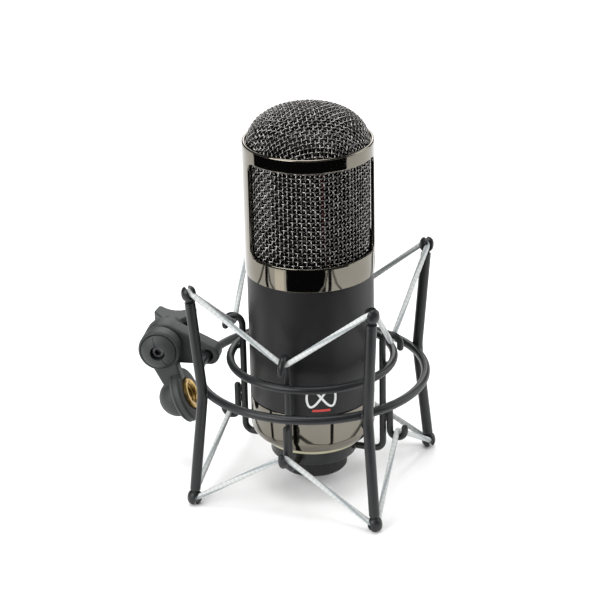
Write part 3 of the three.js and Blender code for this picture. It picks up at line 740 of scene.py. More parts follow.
def ringNut():
    # Fine upright ribs: the radius swings with the cosine of the rib count times the azimuth.
    look = nutLook
    low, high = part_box("ring_nut")
    r, c, edge = high.x, look["chamfer"] * mm, look["edge"] * mm
    rows = np.array([             # radius, height, share of the rib's depth
        (bore, low.z + edge, 0), (bore + edge, low.z, 0), (r - c, low.z, 0), (r - c * 0.8, low.z + c * 0.1, 0),
        (r, low.z + c, 0.4), (r, low.z + 1.5 * c, 1), (r, high.z - 0.9 * mm, 1), (r, high.z - 0.5 * mm, 0.3),
        (r - 0.3 * mm, high.z - 0.1 * mm, 0), (r - 0.5 * mm, high.z, 0),
        (bore + edge, high.z, 0), (bore, high.z - edge, 0)])
    a = np.linspace(0, 2 * np.pi, look["ribs"] * 6, endpoint=False)[None]
    rib = rows[:, 2:] * look["ribDepth"] * mm * (1 - np.abs(np.cos(a * look["ribs"] / 2)) ** 0.6)
    return Shell().grid(polar(rows[:, :1] - rib, a, rows[:, 1:2]), wrapRows=True)


def pins():
    # Three turned pins with round tips, each about the middle of its own box.
    shell = Shell()
    for i in (1, 2, 3):
        low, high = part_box(f"connector_pin_{i}")
        r = (high.x - low.x) / 2
        corners = [(0, low.z), (r, low.z), (r, high.z), (0, high.z)]
        outline = softened(corners, [0, connectorLook["tipRound"], 0.2, 0], 6)
        shell.lathe(outline, 24, Matrix.Translation(((low.x + high.x) / 2, (low.y + high.y) / 2, 0)))
    return shell


def connectorInsert():
    # The moulded floor of the connector cup: a disc with a raised rim facing the plug.
    low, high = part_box("connector_insert")
    r, rimR, floor = high.x, high.x - connectorLook["skirt"] * mm, low.z + connectorLook["step"] * mm
    corners = [(0, floor), (rimR, floor), (rimR, low.z), (r, low.z), (r, high.z), (0, high.z)]
    return Shell().lathe(softened(corners, [0, 0.15, 0.15, 0.2, 0.2, 0]), 64)


threadLook = {"r": 12, "cup": 8.1, "pitch": 0.9, "depth": 0.35, "flangeR": 20, "flange": 2.4}      # mm


def threadedBase():
    # A fine thread outside: the radius swings with height over pitch less azimuth over a full turn.
    look = threadLook
    low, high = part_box("threaded_base")
    r, cup, flangeR = look["r"] * mm, look["cup"] * mm, look["flangeR"] * mm
    pitch, depth, flangeLow = look["pitch"] * mm, look["depth"] * mm, high.z - look["flange"] * mm
    z = np.linspace(low.z + 0.5 * mm, -1 * mm, 110)[:, None]
    a = np.linspace(0, 2 * np.pi, 72, endpoint=False)[None]
    fade = np.clip((z - low.z) / mm - 0.4, 0, 1)
    wave = 0.5 - 0.5 * np.cos(2 * np.pi * (z / pitch - a / (2 * np.pi)))
    bottom = polar(np.array([cup + 0.4 * mm, r - 0.6 * mm])[:, None], a, low.z)
    barrel = polar(r - depth * wave * fade - 0.2 * mm * (1 - fade), a, z)
    rest = np.array([(r, -0.5 * mm), (r, flangeLow), (flangeR, flangeLow), (flangeR, high.z), (cup, high.z),
                     (cup, low.z + 0.4 * mm)])
    top = polar(rest[:, :1], a, rest[:, 1:])
    return Shell().grid(np.concatenate([bottom, barrel, top]), wrapRows=True)


piece("bodyTube", bodyTube(), finishes["body"], "cradle", ["body_tube"])
piece("endCap", endCap(), finishes["nickel"], "cradle", ["end_cap"])
piece("seatRing", Shell().lathe(sleeveProfile("seat_ring", bore, 0.35), 120), finishes["cream"], "cradle",
      ["seat_ring"])
piece("baseCollar", Shell().lathe(sleeveProfile("base_collar", bore, 0.6), 120), finishes["cage"], "cradle",
      ["base_collar"])
piece("ringNut", ringNut(), finishes["black"], "ring_nut", ["ring_nut"], 50)
piece("threadedBase", threadedBase(), finishes["steel"], "cradle", ["threaded_base"], 60)
piece("connectorInsert", connectorInsert(), finishes["black"], "cradle",
      ["connector_insert"])
piece("connectorPins", pins(), finishes["steel"], "cradle",
      [f"connector_pin_{i}" for i in (1, 2, 3)])


# a plain printed figure of eight with a short bar, the sign of a two-sided pick-up
markLook = {                              # mm
    "height": 31.8, "halfWide": 6.4, "halfTall": 4.3, "line": 1.0, "raise": 0.05,
    "barDrop": 6.1, "barWide": 8, "barTall": 1.1,
}


def printedLine(path, wide):
    # A flat strip along a path drawn on the unrolled tube, (distance round, height), then wrapped on it.
    look = markLook
    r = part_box("body_tube")[1].x
    path = np.asarray(path, float) * mm
    closed = np.allclose(path[0], path[-1])
    path = path[:-1] if closed else path
    ahead = np.roll(path, -1, 0) - np.roll(path, 1, 0) if closed else np.gradient(path, axis=0)
    side = unit(np.stack([-ahead[:, 1], ahead[:, 0]], 1)) * wide * mm / 2
    flat = np.stack([path - side, path + side, path + side, path - side], 1)
    depth = np.array([-0.02, -0.02, 1, 1]) * look["raise"] * mm
    points = polar(r + depth[None], flat[..., 0] / r - np.pi / 2, flat[..., 1])
    return Shell().grid(points, wrapRows=closed, caps=not closed)


def markPath():
    # x = a sin t, z = b sin 2t
    look = markLook
    t = np.linspace(0, 2 * np.pi, 121)
    return np.stack([look["halfWide"] * np.sin(t), look["height"] + look["halfTall"] * np.sin(2 * t)], 1)


barAcross = np.linspace(-markLook["barWide"] / 2, markLook["barWide"] / 2, 16)
bar = np.stack([barAcross, np.full(16, markLook["height"] - markLook["barDrop"])], 1)
piece("printedEight", printedLine(markPath(), markLook["line"]), finishes["printPale"], "cradle")
piece("printedBar", printedLine(bar, markLook["barTall"]), finishes["printRed"], "cradle")
print("body made")


# cage and cradle wires
cageLook = {
    "outerR": 50.6, "outerWire": 1.95, "innerR": 36.4, "innerWire": 1.8,
    "postR": 2.35, "postAtRing": 53.4, "postTopR": 57.7, "postLowR": 58.9, "postBend": 40,
    "rod": 1.5, "rodAt": 32.8, "arch": 4.1, "legBend": 4, "hookBend": 3.45,
    "beadWide": 3.1, "endLean": 0.15,      # half the height that a tilted end face adds to the box
}
ringZ = {name: (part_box(name)[0].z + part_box(name)[1].z) / 2 for name in ("outer_ring", "inner_ring")}
quarterTurns = [hookAzimuth + k * math.pi / 2 for k in range(4)]
postTurns = [postAzimuth + k * math.pi / 2 for k in range(4)]


def ringWire(r, wire, z):
    # A torus: a round section carried once round the axis.
    a = np.linspace(0, 2 * np.pi, 288, endpoint=False)
    return Shell().wire(polar(r * mm, a, z), wire * mm, (0, 0, 1), 24, closed=True)


def outerRing():
    # The ring with a weld at every post.
    look = cageLook
    shell = ringWire(look["outerR"], look["outerWire"], ringZ["outer_ring"])
    for a in postTurns:
        at = polar((look["outerR"] + look["outerWire"] * 0.6) * mm, a, ringZ["outer_ring"])
        bead(shell, at, (1.6 * mm, look["beadWide"] * mm, 1.9 * mm), a)
    return shell


def innerRing():
    # The cradle's ring with a weld where each rod passes inside it.
    look = cageLook
    shell = ringWire(look["innerR"], look["innerWire"], ringZ["inner_ring"])
    for a in quarterTurns:
        at = polar((look["innerR"] - look["innerWire"] + 0.1) * mm, a, ringZ["inner_ring"])
        bead(shell, at, (1.1 * mm, 2.3 * mm, 1.2 * mm), a)
    return shell


def posts():
    # Three corners, top, ring and foot, with the middle one bent round a wide arc.
    look = cageLook
    low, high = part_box("post_1")[0].z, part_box("post_1")[1].z
    lean = look["endLean"] * mm
    shell = Shell()
    for a in postTurns:
        corners = [polar(look["postTopR"] * mm, a, high - lean),
                   polar(look["postAtRing"] * mm, a, ringZ["outer_ring"]),
                   polar(look["postLowR"] * mm, a, low + lean)]
        path = rounded(corners, look["postBend"] * mm, 12)
        tangent = polar(0, a + np.pi / 2, 0) + [-math.sin(a), math.cos(a), 0]
        shell.wire(path, look["postR"] * mm, tangent, 24, roundEnds=False)
    return shell


def cradleRods():
    # Hook over the top, straight down, round a bend and in to the collar.
    look = cageLook
    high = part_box("cradle_rod_1")[1].z - look["rod"] * mm
    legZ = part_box("cradle_rod_1")[0].z + look["rod"] * mm
    r, arch, bend = look["rodAt"] * mm, look["arch"] * mm, look["legBend"] * mm
    tipZ = high - 5.8 * mm
    t = np.linspace(0, np.pi, 19)
    q = np.linspace(0, np.pi / 2, 10)
    flat = np.concatenate([
        [(r + 2 * arch, tipZ)],
        np.stack([r + arch + arch * np.cos(t), high - arch + arch * np.sin(t)], 1),
        np.stack([r - bend + bend * np.cos(q), legZ + bend - bend * np.sin(q)], 1),
        [(19.5 * mm, legZ)]])
    shell = Shell()
    for a in quarterTurns:
        path = spaced(polar(flat[:, 0], a, flat[:, 1]), 0.7 * mm)
        shell.wire(path, look["rod"] * mm, (-math.sin(a), math.cos(a), 0), 20)
        bead(shell, polar(19.6 * mm, a, legZ), (1.0 * mm, 2.1 * mm, 1.9 * mm), a)
    return shell


def lowerHooks():
    # A short straight shank beside each rod and a half turn that opens upwards.
    look = cageLook
    low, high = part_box("lower_hook_1")[0].z + look["rod"] * mm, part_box("lower_hook_1")[1].z
    r, bend = (look["rodAt"] + 2 * look["rod"] + 0.3) * mm, look["hookBend"] * mm
    t = np.linspace(0, np.pi, 19)
    flat = np.concatenate([
        [(r, high)],
        np.stack([r + bend - bend * np.cos(t), low + bend - bend * np.sin(t)], 1),
        [(r + 2 * bend, low + 5 * mm)]])
    shell = Shell()
    for a in quarterTurns:
        path = spaced(polar(flat[:, 0], a, flat[:, 1]), 0.7 * mm)
        shell.wire(path, look["rod"] * mm, (-math.sin(a), math.cos(a), 0), 20)
        for lift in (1.5, 6):
            at = polar(r - (look["rod"] + 0.15) * mm, a, high - lift * mm)
            bead(shell, at, (0.8 * mm, 1.2 * mm, 1.9 * mm), a)
    return shell


# elastics: one loop round four caps and four hooks, above and below
elasticLook = {
    "radius": 1.25, "capBend": 2.6, "strands": 8, "braidPitch": 2.9, "braidDepth": 0.09, "step": 0.42, "sides": 32,
    "wrap": 3.1,
    "top": {"capR": 58.05, "capZ": 82.4, "hookR": 36.9, "hookZ": 51.5},
    "low": {"capR": 59.2, "capZ": -16.6, "hookR": 39.55, "hookZ": 7.7},
}


def elasticPath(where):
    # Corners lie past each cap and hook by what rounding them takes back.
    look = elasticLook

    def place(k):
        end = "cap" if k % 2 else "hook"
        return polar(where[end + "R"] * mm, hookAzimuth + k * np.pi / 4, where[end + "Z"] * mm)
    corners, bends = [], []
    for k in range(1, 12):
        back, ahead = place(k - 1) - place(k), place(k + 1) - place(k)
        bend = (look["capBend"] if k % 2 else look["wrap"]) * mm
        half = math.acos(float(unit(back) @ unit(ahead))) / 2
        corners.append(place(k) - unit(unit(back) + unit(ahead)) * bend * (1 / math.sin(half) - 1))
        bends.append(bend)
    path = rounded(corners, bends, 16)
    whole = path[1:8 * 17 + 1]            # eight arcs of 17 points, then it meets its own start
    return spaced(np.concatenate([whole, whole[:1]]), look["step"] * mm)[:-1]


def elasticLoop(where):
    # Braid: radius = r + depth times |sin(n u + v) sin(n u - v)|, u round the cord and v along it.
    look = elasticLook
    path = elasticPath(where)
    shell = Shell().wire(path, look["radius"] * mm, (0.01, 0.02, 1), look["sides"], closed=True)
    points, centre = shell.points[0].reshape(len(path), look["sides"], 3), path[:, None]
    u = np.linspace(0, 2 * np.pi, look["sides"], endpoint=False)[None]
    along = np.arange(len(path))[:, None] * look["step"]
    v = 2 * np.pi * along / look["braidPitch"]
    n = look["strands"] / 2
    weaveHeight = np.abs(np.sin(n * u + v / 2) * np.sin(n * u - v / 2))
    scale = 1 - look["braidDepth"] / look["radius"] * (1 - weaveHeight)
    shell.points[0] = (centre + (points - centre) * scale[..., None]).reshape(-1, 3)
    return shell


capLook = {
    "radius": 3.25, "tall": 7.2, "neckR": 1.7, "neckTall": 0.45, "slot": 2.0, "slotFloor": 2.9,
    "power": 2.35, "voxel": 0.2,
}


def postCap(endR, endZ, lean, flip, elastic):
    # A barrel-shaped knob on a neck, split by a slot with a round floor, worn soft by a fine remesh.
    look = capLook
    mid, half = look["neckTall"] + look["tall"] / 2, look["tall"] / 2
    a = np.linspace(-np.pi / 2 + 0.35, np.pi / 2, 28)
    knob = np.stack([look["radius"] * np.cos(a) ** (2 / look["power"]),
                     mid + half * np.sign(np.sin(a)) * np.abs(np.sin(a)) ** (2 / look["power"])], 1)
    profile = np.concatenate([[(0, 0.1), (look["neckR"], 0.1), (look["neckR"], look["neckTall"])], knob]) * mm
    base = asMesh("knob", Shell().lathe(profile, 48))
    floor, w = look["neckTall"] + look["slotFloor"], look["slot"] / 2
    t = np.linspace(np.pi, 2 * np.pi, 13)
    section = np.concatenate([np.stack([w * np.cos(t), floor + w * np.sin(t)], 1), [(w, 14), (-w, 14)]]) * mm
    y = np.array([-6, 6])[:, None] * mm
    slab = np.stack(np.broadcast_arrays(section[None, :, 0], y, section[None, :, 1]), -1)
    slot = asMesh("slot", Shell().grid(slab, caps=True))
    cap = combine(base, [slot], "DIFFERENCE")
    sign = -1 if flip else 1
    stand = Matrix.Translation((endR, 0, endZ)) @ Matrix.Rotation(sign * lean, 4, "Y")
    if flip:
        stand = stand @ Matrix.Rotation(np.pi, 4, "X")
    cap.transform(Matrix.Rotation(postTurns[1], 4, "Z") @ stand)
    cap = combine(cap, [elastic], "DIFFERENCE")
    return softRemesh(cap, look["voxel"] * mm, 3)


def softRemesh(mesh, voxel, passes):
    # Voxel remesh, then a few rounds of moving each point to the mean of its neighbours.
    obj = bpy.data.objects.new("remesh", mesh)
    bpy.context.scene.collection.objects.link(obj)
    remesh = obj.modifiers.new("fine", "REMESH")
    remesh.mode, remesh.voxel_size, remesh.use_smooth_shade = "VOXEL", voxel, True
    smooth = obj.modifiers.new("soft", "SMOOTH")
    smooth.factor, smooth.iterations = 0.5, passes
    bpy.context.view_layer.update()
    result = bpy.data.meshes.new_from_object(obj.evaluated_get(bpy.context.evaluated_depsgraph_get()))
    bpy.data.objects.remove(obj)
    result.polygons.foreach_set("use_smooth", np.ones(len(result.polygons), bool))
    return result


def fourCopies(mesh):
    # The same cap at every post, in one mesh.
    count = len(mesh.vertices)
    points = np.empty(count * 3)
    mesh.vertices.foreach_get("co", points)
    faces = np.array([p.vertices[:] for p in mesh.polygons])
    shell = Shell()
    for k in range(4):
        shell.add(moved(points.reshape(-1, 3), Matrix.Rotation(k * np.pi / 2, 4, "Z")), faces)
    return shell


def caps(ends, where, flip):
    # One cap, cut by the stretch of elastic that runs through its slot, then copied to every post.
    look, cage = elasticLook, cageLook
    endR, endZ = ends
    lean = math.atan2(endR - cage["postAtRing"] * mm, abs(endZ - ringZ["outer_ring"]))
    path = elasticPath(where)
    away = np.angle(np.exp(1j * (np.arctan2(path[:, 1], path[:, 0]) - postTurns[1])))
    near = np.abs(away) < 0.2
    start = int(np.argmax(near & ~np.roll(near, 1)))
    run = np.roll(path, -start, 0)[:int(near.sum())]
    fat = asMesh("fat", Shell().wire(run, (look["radius"] + 0.12) * mm, (0.01, 0.02, 1), 20))
    return fourCopies(postCap(endR, endZ, lean, flip, fat))


def fourOf(stem):
    return [f"{stem}_{k}" for k in (1, 2, 3, 4)]


postLow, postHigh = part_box("post_1")[0].z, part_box("post_1")[1].z
paint = finishes["cage"]
piece("outerRing", outerRing(), paint, "cage", ["outer_ring"])
piece("innerRing", innerRing(), paint, "cradle", ["inner_ring"])
piece("posts", posts(), paint, "cage", fourOf("post"))
piece("cradleRods", cradleRods(), paint, "cradle", fourOf("cradle_rod"))
piece("lowerHooks", lowerHooks(), paint, "cradle", fourOf("lower_hook"))
topEnd = (cageLook["postTopR"] * mm, postHigh - cageLook["endLean"] * mm)
lowEnd = (cageLook["postLowR"] * mm, postLow + cageLook["endLean"] * mm)
piece("topCaps", caps(topEnd, elasticLook["top"], False), paint, "cage", fourOf("top_cap"), 60)
piece("bottomCaps", caps(lowEnd, elasticLook["low"], True), paint, "cage",
      fourOf("bottom_cap"), 60)
print("cage made")


def elastic(name, node, where):
    # The loop runs round the cage's caps and the cradle's hooks.
    mesh = asMesh(name, elasticLoop(where), 70)
    obj = bpy.data.objects.new(name, mesh)
    bpy.context.scene.collection.objects.link(obj)
    mesh.materials.append(finishes["braid"])
    where["capZ"] * mm
    where["hookZ"] * mm
    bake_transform(obj)
    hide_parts(node)


elastic("upperElastic", "upper_elastic", elasticLook["top"])
elastic("lowerElastic", "lower_elastic", elasticLook["low"])
print("elastics made")


# stand swivel: everything is worked out about its pivot, X towards the cage, Y back along the bolt
swivelLook = {
    "pivot": (-63.225, 33.219, 37.4), "turn": -17.5,
    "armHalf": 4.4, "bossR": 9.5, "lobeR": 4.6, "lobe": (21.3, -4.9), "armEdge": 1.1,
    "front": 13.1, "back": 6.1, "coverR": 8.0, "coverRise": 2.1, "seamWide": 0.24, "seams": (108, -57),
    "boltR": 2.5, "boltGap": 0.3, "headR": 3.1, "headHole": 3.4, "hexR": 1.6,
    "mouth": (13.1, -21.9), "mouthDepth": 9.1, "tilt": 22.8, "mouthR": 12.5, "band": 4.6,
    "ballR": 8.8, "ballBack": 6.2, "insertR": 7.0, "holeR": 4.3, "insertDepth": 9.0, "proud": 1.2,
    "threadPitch": 1.5875, "threadDepth": 0.5, "threadRows": 110,
    "wingBase": 4.8, "hubLong": 9.0, "hubR": 6.2, "wingTip": 28.2, "wingSpan": 9.8, "wingHalf": 4.4,
    "saddle": 4.6, "pocket": (4.2, 2.2, 2.6), "voxel": 0.32,
}
swivelPlace = (Matrix.Translation(Vector(swivelLook["pivot"]) * mm)
               @ Matrix.Rotation(math.radians(swivelLook["turn"]), 4, "Z"))
boltPlace = swivelPlace @ Matrix.Rotation(math.pi / 2, 4, "X")         # local Z runs forward along the bolt
mouthAt = Vector((swivelLook["mouth"][0], -swivelLook["mouthDepth"], swivelLook["mouth"][1])) * mm
mouthPlace = (swivelPlace @ Matrix.Translation(mouthAt)
              @ Matrix.Rotation(math.radians(90 - swivelLook["tilt"]), 4, "Y"))


def turnedMesh(points, place, steps=72, soft=0.0, sharp=35):
    # (radius, height) points in mm, softened and turned about the place's own Z
    return asMesh("turned", Shell().lathe(softened(np.asarray(points, float) * mm, soft), steps, place), sharp)


def slabMesh(outline, low, high, soft, place, steps=5):
    # An outline (x, y) between two depths along local Z; its edges are rolled over by the soft radius.
    outline = np.asarray(outline, float)
    ahead = unit(np.roll(outline, -1, 0) - np.roll(outline, 1, 0))
    normal = np.stack([ahead[:, 1], -ahead[:, 0]], 1)
    a = np.linspace(0, np.pi / 2, steps + 1)
    inset = np.r_[soft * (1 - np.sin(a)), soft * (1 - np.cos(a))]
    height = np.r_[low + soft * (1 - np.cos(a)), high - soft * (1 - np.sin(a))]
    flat = outline[None] - normal[None] * inset[:, None, None]
    points = np.concatenate([flat, np.broadcast_to(height[:, None, None], flat.shape[:2] + (1,))], -1) * mm
    return asMesh("slab", Shell().grid(moved(points, place), caps=True))


def tangentOutline(r1, centre, r2, count=40):
    # Two circles joined by their common outer tangents, counter-clockwise.
    centre = np.asarray(centre, float)
    far = float(np.hypot(*centre))
    along, spread = math.atan2(centre[1], centre[0]), math.acos((r1 - r2) / far)
    big = np.linspace(along + spread, along - spread + 2 * np.pi, count)
    small = np.linspace(along - spread, along + spread, count // 2)
    first = np.stack([r1 * np.cos(big), r1 * np.sin(big)], 1)
    second = centre + np.stack([r2 * np.cos(small), r2 * np.sin(small)], 1)
    sides = []
    for a, b in ((first[-1], second[0]), (second[-1], first[0])):
        t = np.linspace(0, 1, 9)[1:-1, None]
        sides.append(a + (b - a) * t)
    return np.concatenate([first, sides[0], second, sides[1]])


def linkArm():
    # Boss and lobe in one plate, bored for the bolt and the ring, with a dished back and a cone in front.
    look = swivelLook
    h = look["armHalf"]
    outline = tangentOutline(look["bossR"], look["lobe"], look["lobeR"], 64)
    arm = slabMesh(outline, -h, h, look["armEdge"], boltPlace)
    hole, dishR, dish = look["boltR"] + look["boltGap"], look["bossR"] - 1.8, 2.2 - h
    cutters = [turnedMesh([(0, -9), (hole, -9), (hole, 9), (0, 9)], boltPlace, 48),
               turnedMesh([(0, -9), (dishR, -9), (dishR, dish), (0, dish)], boltPlace)]
    x, y = look["lobe"]
    cone = boltPlace @ Matrix.Translation(Vector((x - 1.2, y, 0)) * mm)
    mouth = [(0, h - 1.6), (2.4, h - 1.6), (3.4, h + 0.4), (3.4, h + 2), (0, h + 2)]
    cutters.append(turnedMesh(mouth, cone, 40))
    a = np.linspace(-0.45, 0.45, 60) + math.radians(148)
    path = polar(cageLook["outerR"] * mm, a, ringZ["outer_ring"])
    clear = (cageLook["outerWire"] + 0.25) * mm
    cutters.append(asMesh("bore", Shell().wire(path, clear, (0, 0, 1), 28)))
    return combine(arm, cutters, "DIFFERENCE", 30)


def knuckle():
    # A disc with a rim, a groove and a domed cover, a neck, and the socket that takes the stand's thread.
    look = swivelLook
    front, back, r, c, rise = look["front"], look["back"], look["bossR"], look["coverR"], look["coverRise"]
    hole, head = look["boltR"] + look["boltGap"], look["headHole"]
    a = np.linspace(0, 1, 10)
    dome = np.stack([c - (c - head) * a, front + 0.35 + rise * (1 - (1 - a) ** 2)], 1)
    rim = [(0, back), (r - 0.7, back), (r, back + 0.7), (r, front - 0.8), (r - 0.5, front - 0.15),
           (r - 1.0, front), (c + 0.45, front), (c + 0.25, front - 0.7), (c, front - 0.7), (c, front + 0.2)]
    face = np.concatenate([rim, dome, [(0, front + 0.35 + rise)]])
    boss = turnedMesh(face, boltPlace, 96, 0.18)
    tilt = math.radians(-(90 - look["tilt"]))
    ahead, side = np.array([math.cos(tilt), math.sin(tilt)]), np.array([-math.sin(tilt), math.cos(tilt)])
    corners = [(2, -6.6), (19, -5.2), (19, 3.4), (2, 6.2)]
    flat = np.array([ahead * s + side * w for s, w in corners])
    t = np.linspace(0, 1, 12)[:-1, None]
    outline = np.concatenate([p + (q - p) * t for p, q in zip(flat, np.roll(flat, -1, 0))])
    neck = slabMesh(outline, back + 0.6, front - 0.5, 0.9, boltPlace)
    b, ballBack, m = look["ballR"], look["ballBack"], look["mouthR"]
    q = np.linspace(-np.pi / 2, -0.02, 22)
    ball = np.stack([b * np.cos(q), -ballBack + b * np.sin(q)], 1)
    lip = [(b + 0.05, -ballBack + 0.3), (m - 0.9, -look["band"] - 0.2), (m, -look["band"] + 0.6), (m, -3.4),
           (m - 0.25, -3.2), (m - 0.25, -2.9), (m, -2.7), (m, -0.8), (m - 0.8, 0), (0, 0)]
    socket = turnedMesh(np.concatenate([ball, softened(np.array(lip), 0)]), mouthPlace, 96, 0.12)
    body = combine(boss, [neck, socket], "UNION", 30)
    wide, deep = look["insertR"] + 0.3, -look["insertDepth"] - 0.3
    seat = [(0, deep), (wide, deep), (wide, -0.5), (wide + 0.5, 0.2), (wide + 0.5, 3), (0, 3)]
    cutters = [turnedMesh(seat, mouthPlace),
               turnedMesh([(0, 0), (hole, 0), (hole, 20), (0, 20)], boltPlace, 48),
               turnedMesh([(0, front - 2.6), (head, front - 2.6), (head, 20), (0, 20)], boltPlace, 64)]
    for degrees in look["seams"]:         # the mould line, above and below the bolt
        out = np.array([math.cos(math.radians(degrees)), math.sin(math.radians(degrees))])
        across = np.array([-out[1], out[0]]) * look["seamWide"] / 2
        ends = [out * 2 - across, out * (c - 0.6) - across, out * (c - 0.6) + across, out * 2 + across]
        cutters.append(slabMesh(np.array(ends), front + 0.3, front + 6, 0.0, boltPlace, 1))
    return combine(body, cutters, "DIFFERENCE", 30)


def pivotBolt():
    # Socket-head screw: a short chamfered head with a hexagonal key hole.
    look = swivelLook
    front, head, r = look["front"], look["headR"], look["boltR"]
    end = -(look["wingBase"] + 6.6)
    outline = [(0, end), (r - 0.3, end), (r, end + 0.4), (r, front - 2.3), (head, front - 2.3),
               (head, front + 0.3), (head - 0.5, front + 0.7), (0, front + 0.7)]
    body = turnedMesh(outline, boltPlace, 64, 0.12)
    a = np.radians(np.arange(0, 360, 60))
    hexagon = np.stack([np.cos(a), np.sin(a)], 1) * look["hexR"]
    t = np.linspace(0, 1, 5)[:-1, None]
    sides = np.concatenate([p + (q - p) * t for p, q in zip(hexagon, np.roll(hexagon, -1, 0))])
    key = slabMesh(sides, front - 1.2, front + 3, 0.0, boltPlace, 1)
    return combine(body, [key], "DIFFERENCE", 30)


def threadInsert():
    # Thread inside: the hole's radius follows a triangle wave of height over pitch plus azimuth.
    look = swivelLook
    r, hole, deep, proud = look["insertR"], look["holeR"], look["insertDepth"], look["proud"]
    rows, pitch, depth = look["threadRows"], look["threadPitch"], look["threadDepth"]
    a = np.linspace(0, 2 * np.pi, 72, endpoint=False)[None]
    z = np.linspace(-deep + 0.4, proud - 0.5, rows)[:, None]
    wave = 2 * np.abs((z / pitch + a / (2 * np.pi)) % 1 - 0.5)
    thread = polar(hole + depth * np.clip(wave * 1.3 - 0.15, 0, 1), a, z)
    outer = np.array([(hole + depth + 0.5, proud), (r - 0.5, proud), (r, proud - 0.5), (r, -deep),
                      (hole + depth, -deep)])
    rim = polar(outer[:, :1], a, outer[:, 1:])
    return Shell().grid(moved(np.concatenate([thread, rim]) * mm, mouthPlace), wrapRows=True)


def wingNut():
    # Hub and two thick swept wings, a V in front and a saddle behind, with a pocket in each front face.
    look = swivelLook
    base, tip, half, span = look["wingBase"], look["wingTip"], look["wingHalf"], look["wingSpan"]
    end, r = -base - look["hubLong"], look["hubR"]
    hub = turnedMesh([(0, end), (r - 0.6, end), (r, end + 0.6), (r, -base), (0, -base)], boltPlace)
    t = np.linspace(0, 1, 15)[:, None]
    left, right = np.array([1.6 - span, tip]), np.array([span - 1.6, tip])
    dip = np.array([0, tip - 2 * look["saddle"]])
    saddle = (1 - t) ** 2 * left + 2 * t * (1 - t) * dip + t * t * right
    side = np.array([(3.2, -end - 1.5), (span - 0.3, tip - 7.8), (span, tip - 7), (span - 0.7, tip - 0.8)])
    edge = np.concatenate([side * [-1, 1], saddle, side[::-1]])
    s = np.linspace(0, 1, 6)[:-1, None]
    outline = np.concatenate([p + (q - p) * s for p, q in zip(edge, np.roll(edge, -1, 0))])
    wings = slabMesh(outline[::-1], -half, half, 0.5, swivelPlace)
    body = combine(hub, [wings], "UNION")
    hole = look["boltR"] + look["boltGap"]
    cutters = [turnedMesh([(0, -20), (0.1, end - 0.2), (hole, end + 1.4), (hole, 0), (0, 0)], boltPlace, 40)]
    deep, wide, tall = look["pocket"]
    slope = math.atan2(tip - 7.8 - (-end - 1.5), span - 3.5)
    for way in (-1, 1):
        middle = Matrix.Translation(Vector((way * (span + 3) / 2, (tip - 7.8 - end - 1.5) / 2, -0.4)) * mm)
        turn = Matrix.Rotation(way * slope, 4, "Z")
        box = np.array([(-wide, -deep), (wide, -deep), (wide, deep * 0.4), (-wide, deep * 0.4)])
        cutters.append(slabMesh(box, -tall, tall, 0.0, swivelPlace @ middle @ turn, 1))
    return softRemesh(combine(body, cutters, "DIFFERENCE"), look["voxel"] * mm, 3)


piece("linkArm", linkArm(), finishes["grey"], "cage", ["link_arm"])
piece("standKnuckle", knuckle(), finishes["grey"], "knuckle", ["stand_knuckle"])
piece("pivotBolt", pivotBolt(), finishes["blackOxideAndShade"], "knuckle", ["pivot_bolt"])
piece("threadInsert", threadInsert(), finishes["brass"], "knuckle", ["thread_insert"], 40)
piece("wingNut", wingNut(), finishes["grey"], "wing_nut", ["wing_nut"], 60)
print("swivel made")


# CAD parts whose own shape is kept only get a finish
keptParts = {
    "black": ["deck_plate", "friction_washer", "transformer_bracket",
              "chassis_rail_left", "chassis_rail_right"],
    # the magnets' plating is light; these parts take the dark finish as painted shade inside the head
    "blackOxideAndShade": ["motor_base", "motor_top", "magnet_left", "magnet_right",
              "pole_left", "pole_right", "transformer"],
    "brass": ["ribbon_clamp_top", "ribbon_clamp_bottom"],
    "foil": ["ribbon"], "red": ["red_lead"], "dark": ["black_lead"],
}
for finish, names in keptParts.items():
    for name in names:
        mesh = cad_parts[name].data
        mesh.materials.clear()
        mesh.materials.append(finishes[finish])
print("carried-over parts finished")


stageLook = {
    "floorSize": 6,                          # metres
    "world": {"camera": 1.0, "soft": 0.62, "mirror": 0.1},
    "lights": {                              # place, width and height, power in watts
        "keySoft": ((-1.1, -0.75, 0.75), (1.1, 1.2), 20),
        "sideSoft": ((1.15, 0.15, 0.6), (0.9, 1.1), 7),
        "topSoft": ((-0.1, 0.1, 1.5), (1.0, 1.0), 15),
        "backSoft": ((0.3, 1.3, 0.8), (1.0, 0.8), 8),
    },
    "cards": {                               # seen only in mirrors: inner and outer radius, azimuths, glow
        "farDark": (0.31, 1.3, -203, -30, 0.0),
        "nearDark": (0.15, 0.31, -139, -72, 0.0),
        "leftGlow": (0.17, 0.29, -160, -143, 2.6),
    },
    # place, target, roll in degrees, lens in mm
    "camera": ((-0.1169, -0.8878, 0.4580), (-0.00481, 0.000633, 0.06657), -1.261, 133.04),
}


def facing(place, target):
    # A turn that points an object's -Z from its place to the target, with Y up.
    return (Vector(target) - Vector(place)).to_track_quat("-Z", "Y").to_matrix().to_4x4()


def makeFloor():
    # A plain square just under the lowest point.
    half = stageLook["floorSize"] / 2
    z = cadBox[0].z - 0.2 * mm
    ring = np.linspace(-half, half, 2)
    x, y = np.meshgrid(ring, ring)
    mesh = asMesh("floor", Shell().grid(np.stack([x, y, np.full_like(x, z)], -1), wrapColumns=False))
    if mesh.polygons[0].normal.z < 0:
        mesh.flip_normals()
    floor = bpy.data.objects.new("floor", mesh)
    bpy.context.scene.collection.objects.link(floor)
    mesh.materials.append(paperFloor())


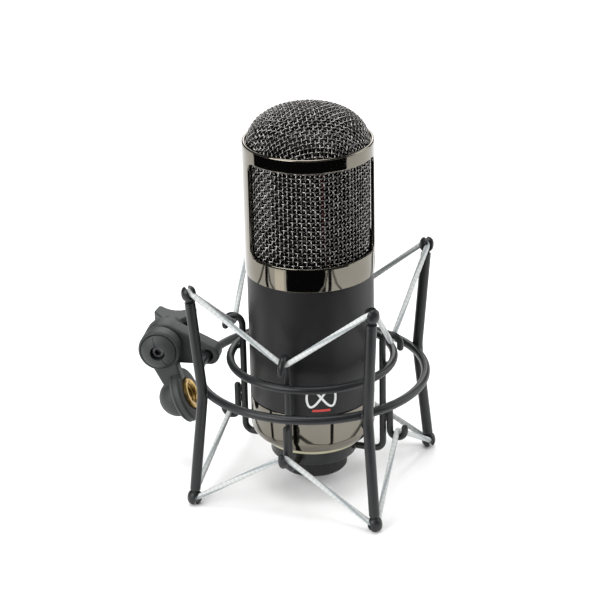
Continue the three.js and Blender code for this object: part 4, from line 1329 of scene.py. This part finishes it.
def makeLights():
    # Soft boxes that face the object, and flat cards that only its polished parts see.
    centre = (0, 0, (cadBox[0].z + cadBox[1].z) / 2)
    for name, (place, size, power) in stageLook["lights"].items():
        light = bpy.data.lights.new(name, "AREA")
        light.shape, light.size, light.size_y, light.energy = "RECTANGLE", size[0], size[1], power
        obj = bpy.data.objects.new(name, light)
        obj.matrix_world = Matrix.Translation(place) @ facing(place, centre)
        bpy.context.scene.collection.objects.link(obj)
    for name, (inner, outer, start, end, glow) in stageLook["cards"].items():
        # part of a flat ring lying just above the floor
        azimuth = np.radians(np.linspace(start, end, 25))[None]
        radius = np.array([inner, outer])[:, None]
        lift = cadBox[0].z + 0.5 * mm
        card = Finish(name, colour=(0.006, 0.006, 0.007), rough=1.0, specular=0.0,
                      glowColour=(1.0, 0.97, 0.9), glow=glow)
        mesh = asMesh(name, Shell().grid(polar(radius, azimuth, lift), wrapColumns=False))
        obj = bpy.data.objects.new(name, mesh)
        bpy.context.scene.collection.objects.link(obj)
        mesh.materials.append(card.material)
        obj.visible_camera = obj.visible_diffuse = obj.visible_shadow = False


def makeWorld():
    # The surroundings light the object softly; straight to the camera they are plain white.
    world = bpy.data.worlds.new("studio")
    bpy.context.scene.world = world
    world.use_nodes = True
    tree = world.node_tree
    w = Wired(tree)
    level = stageLook["world"]
    toCamera, toMirror = w.node("LightPath"), w.node("LightPath", output=3)
    soft = level["soft"]
    strength = (toCamera * (level["camera"] - soft) + toMirror * (level["mirror"] - soft)) + soft
    background = tree.nodes["Background"]
    background.inputs["Color"].default_value = (1, 1, 1, 1)
    tree.links.new(strength.socket, background.inputs["Strength"])
    bpy.context.scene.view_settings.view_transform = "Standard"


def makeCamera():
    # Looks from its place at the target, then rolls about its own axis.
    place, target, roll, lens = stageLook["camera"]
    data = bpy.data.cameras.new("camera")
    data.sensor_width, data.lens, data.clip_start = 36, lens, 0.01
    camera = bpy.data.objects.new("camera", data)
    turn = facing(place, target) @ Matrix.Rotation(math.radians(roll), 4, "Z")
    camera.matrix_world = Matrix.Translation(place) @ turn
    bpy.context.scene.collection.objects.link(camera)
    bpy.context.scene.camera = camera


makeFloor()
makeLights()
makeWorld()
makeCamera()
print("stage made")
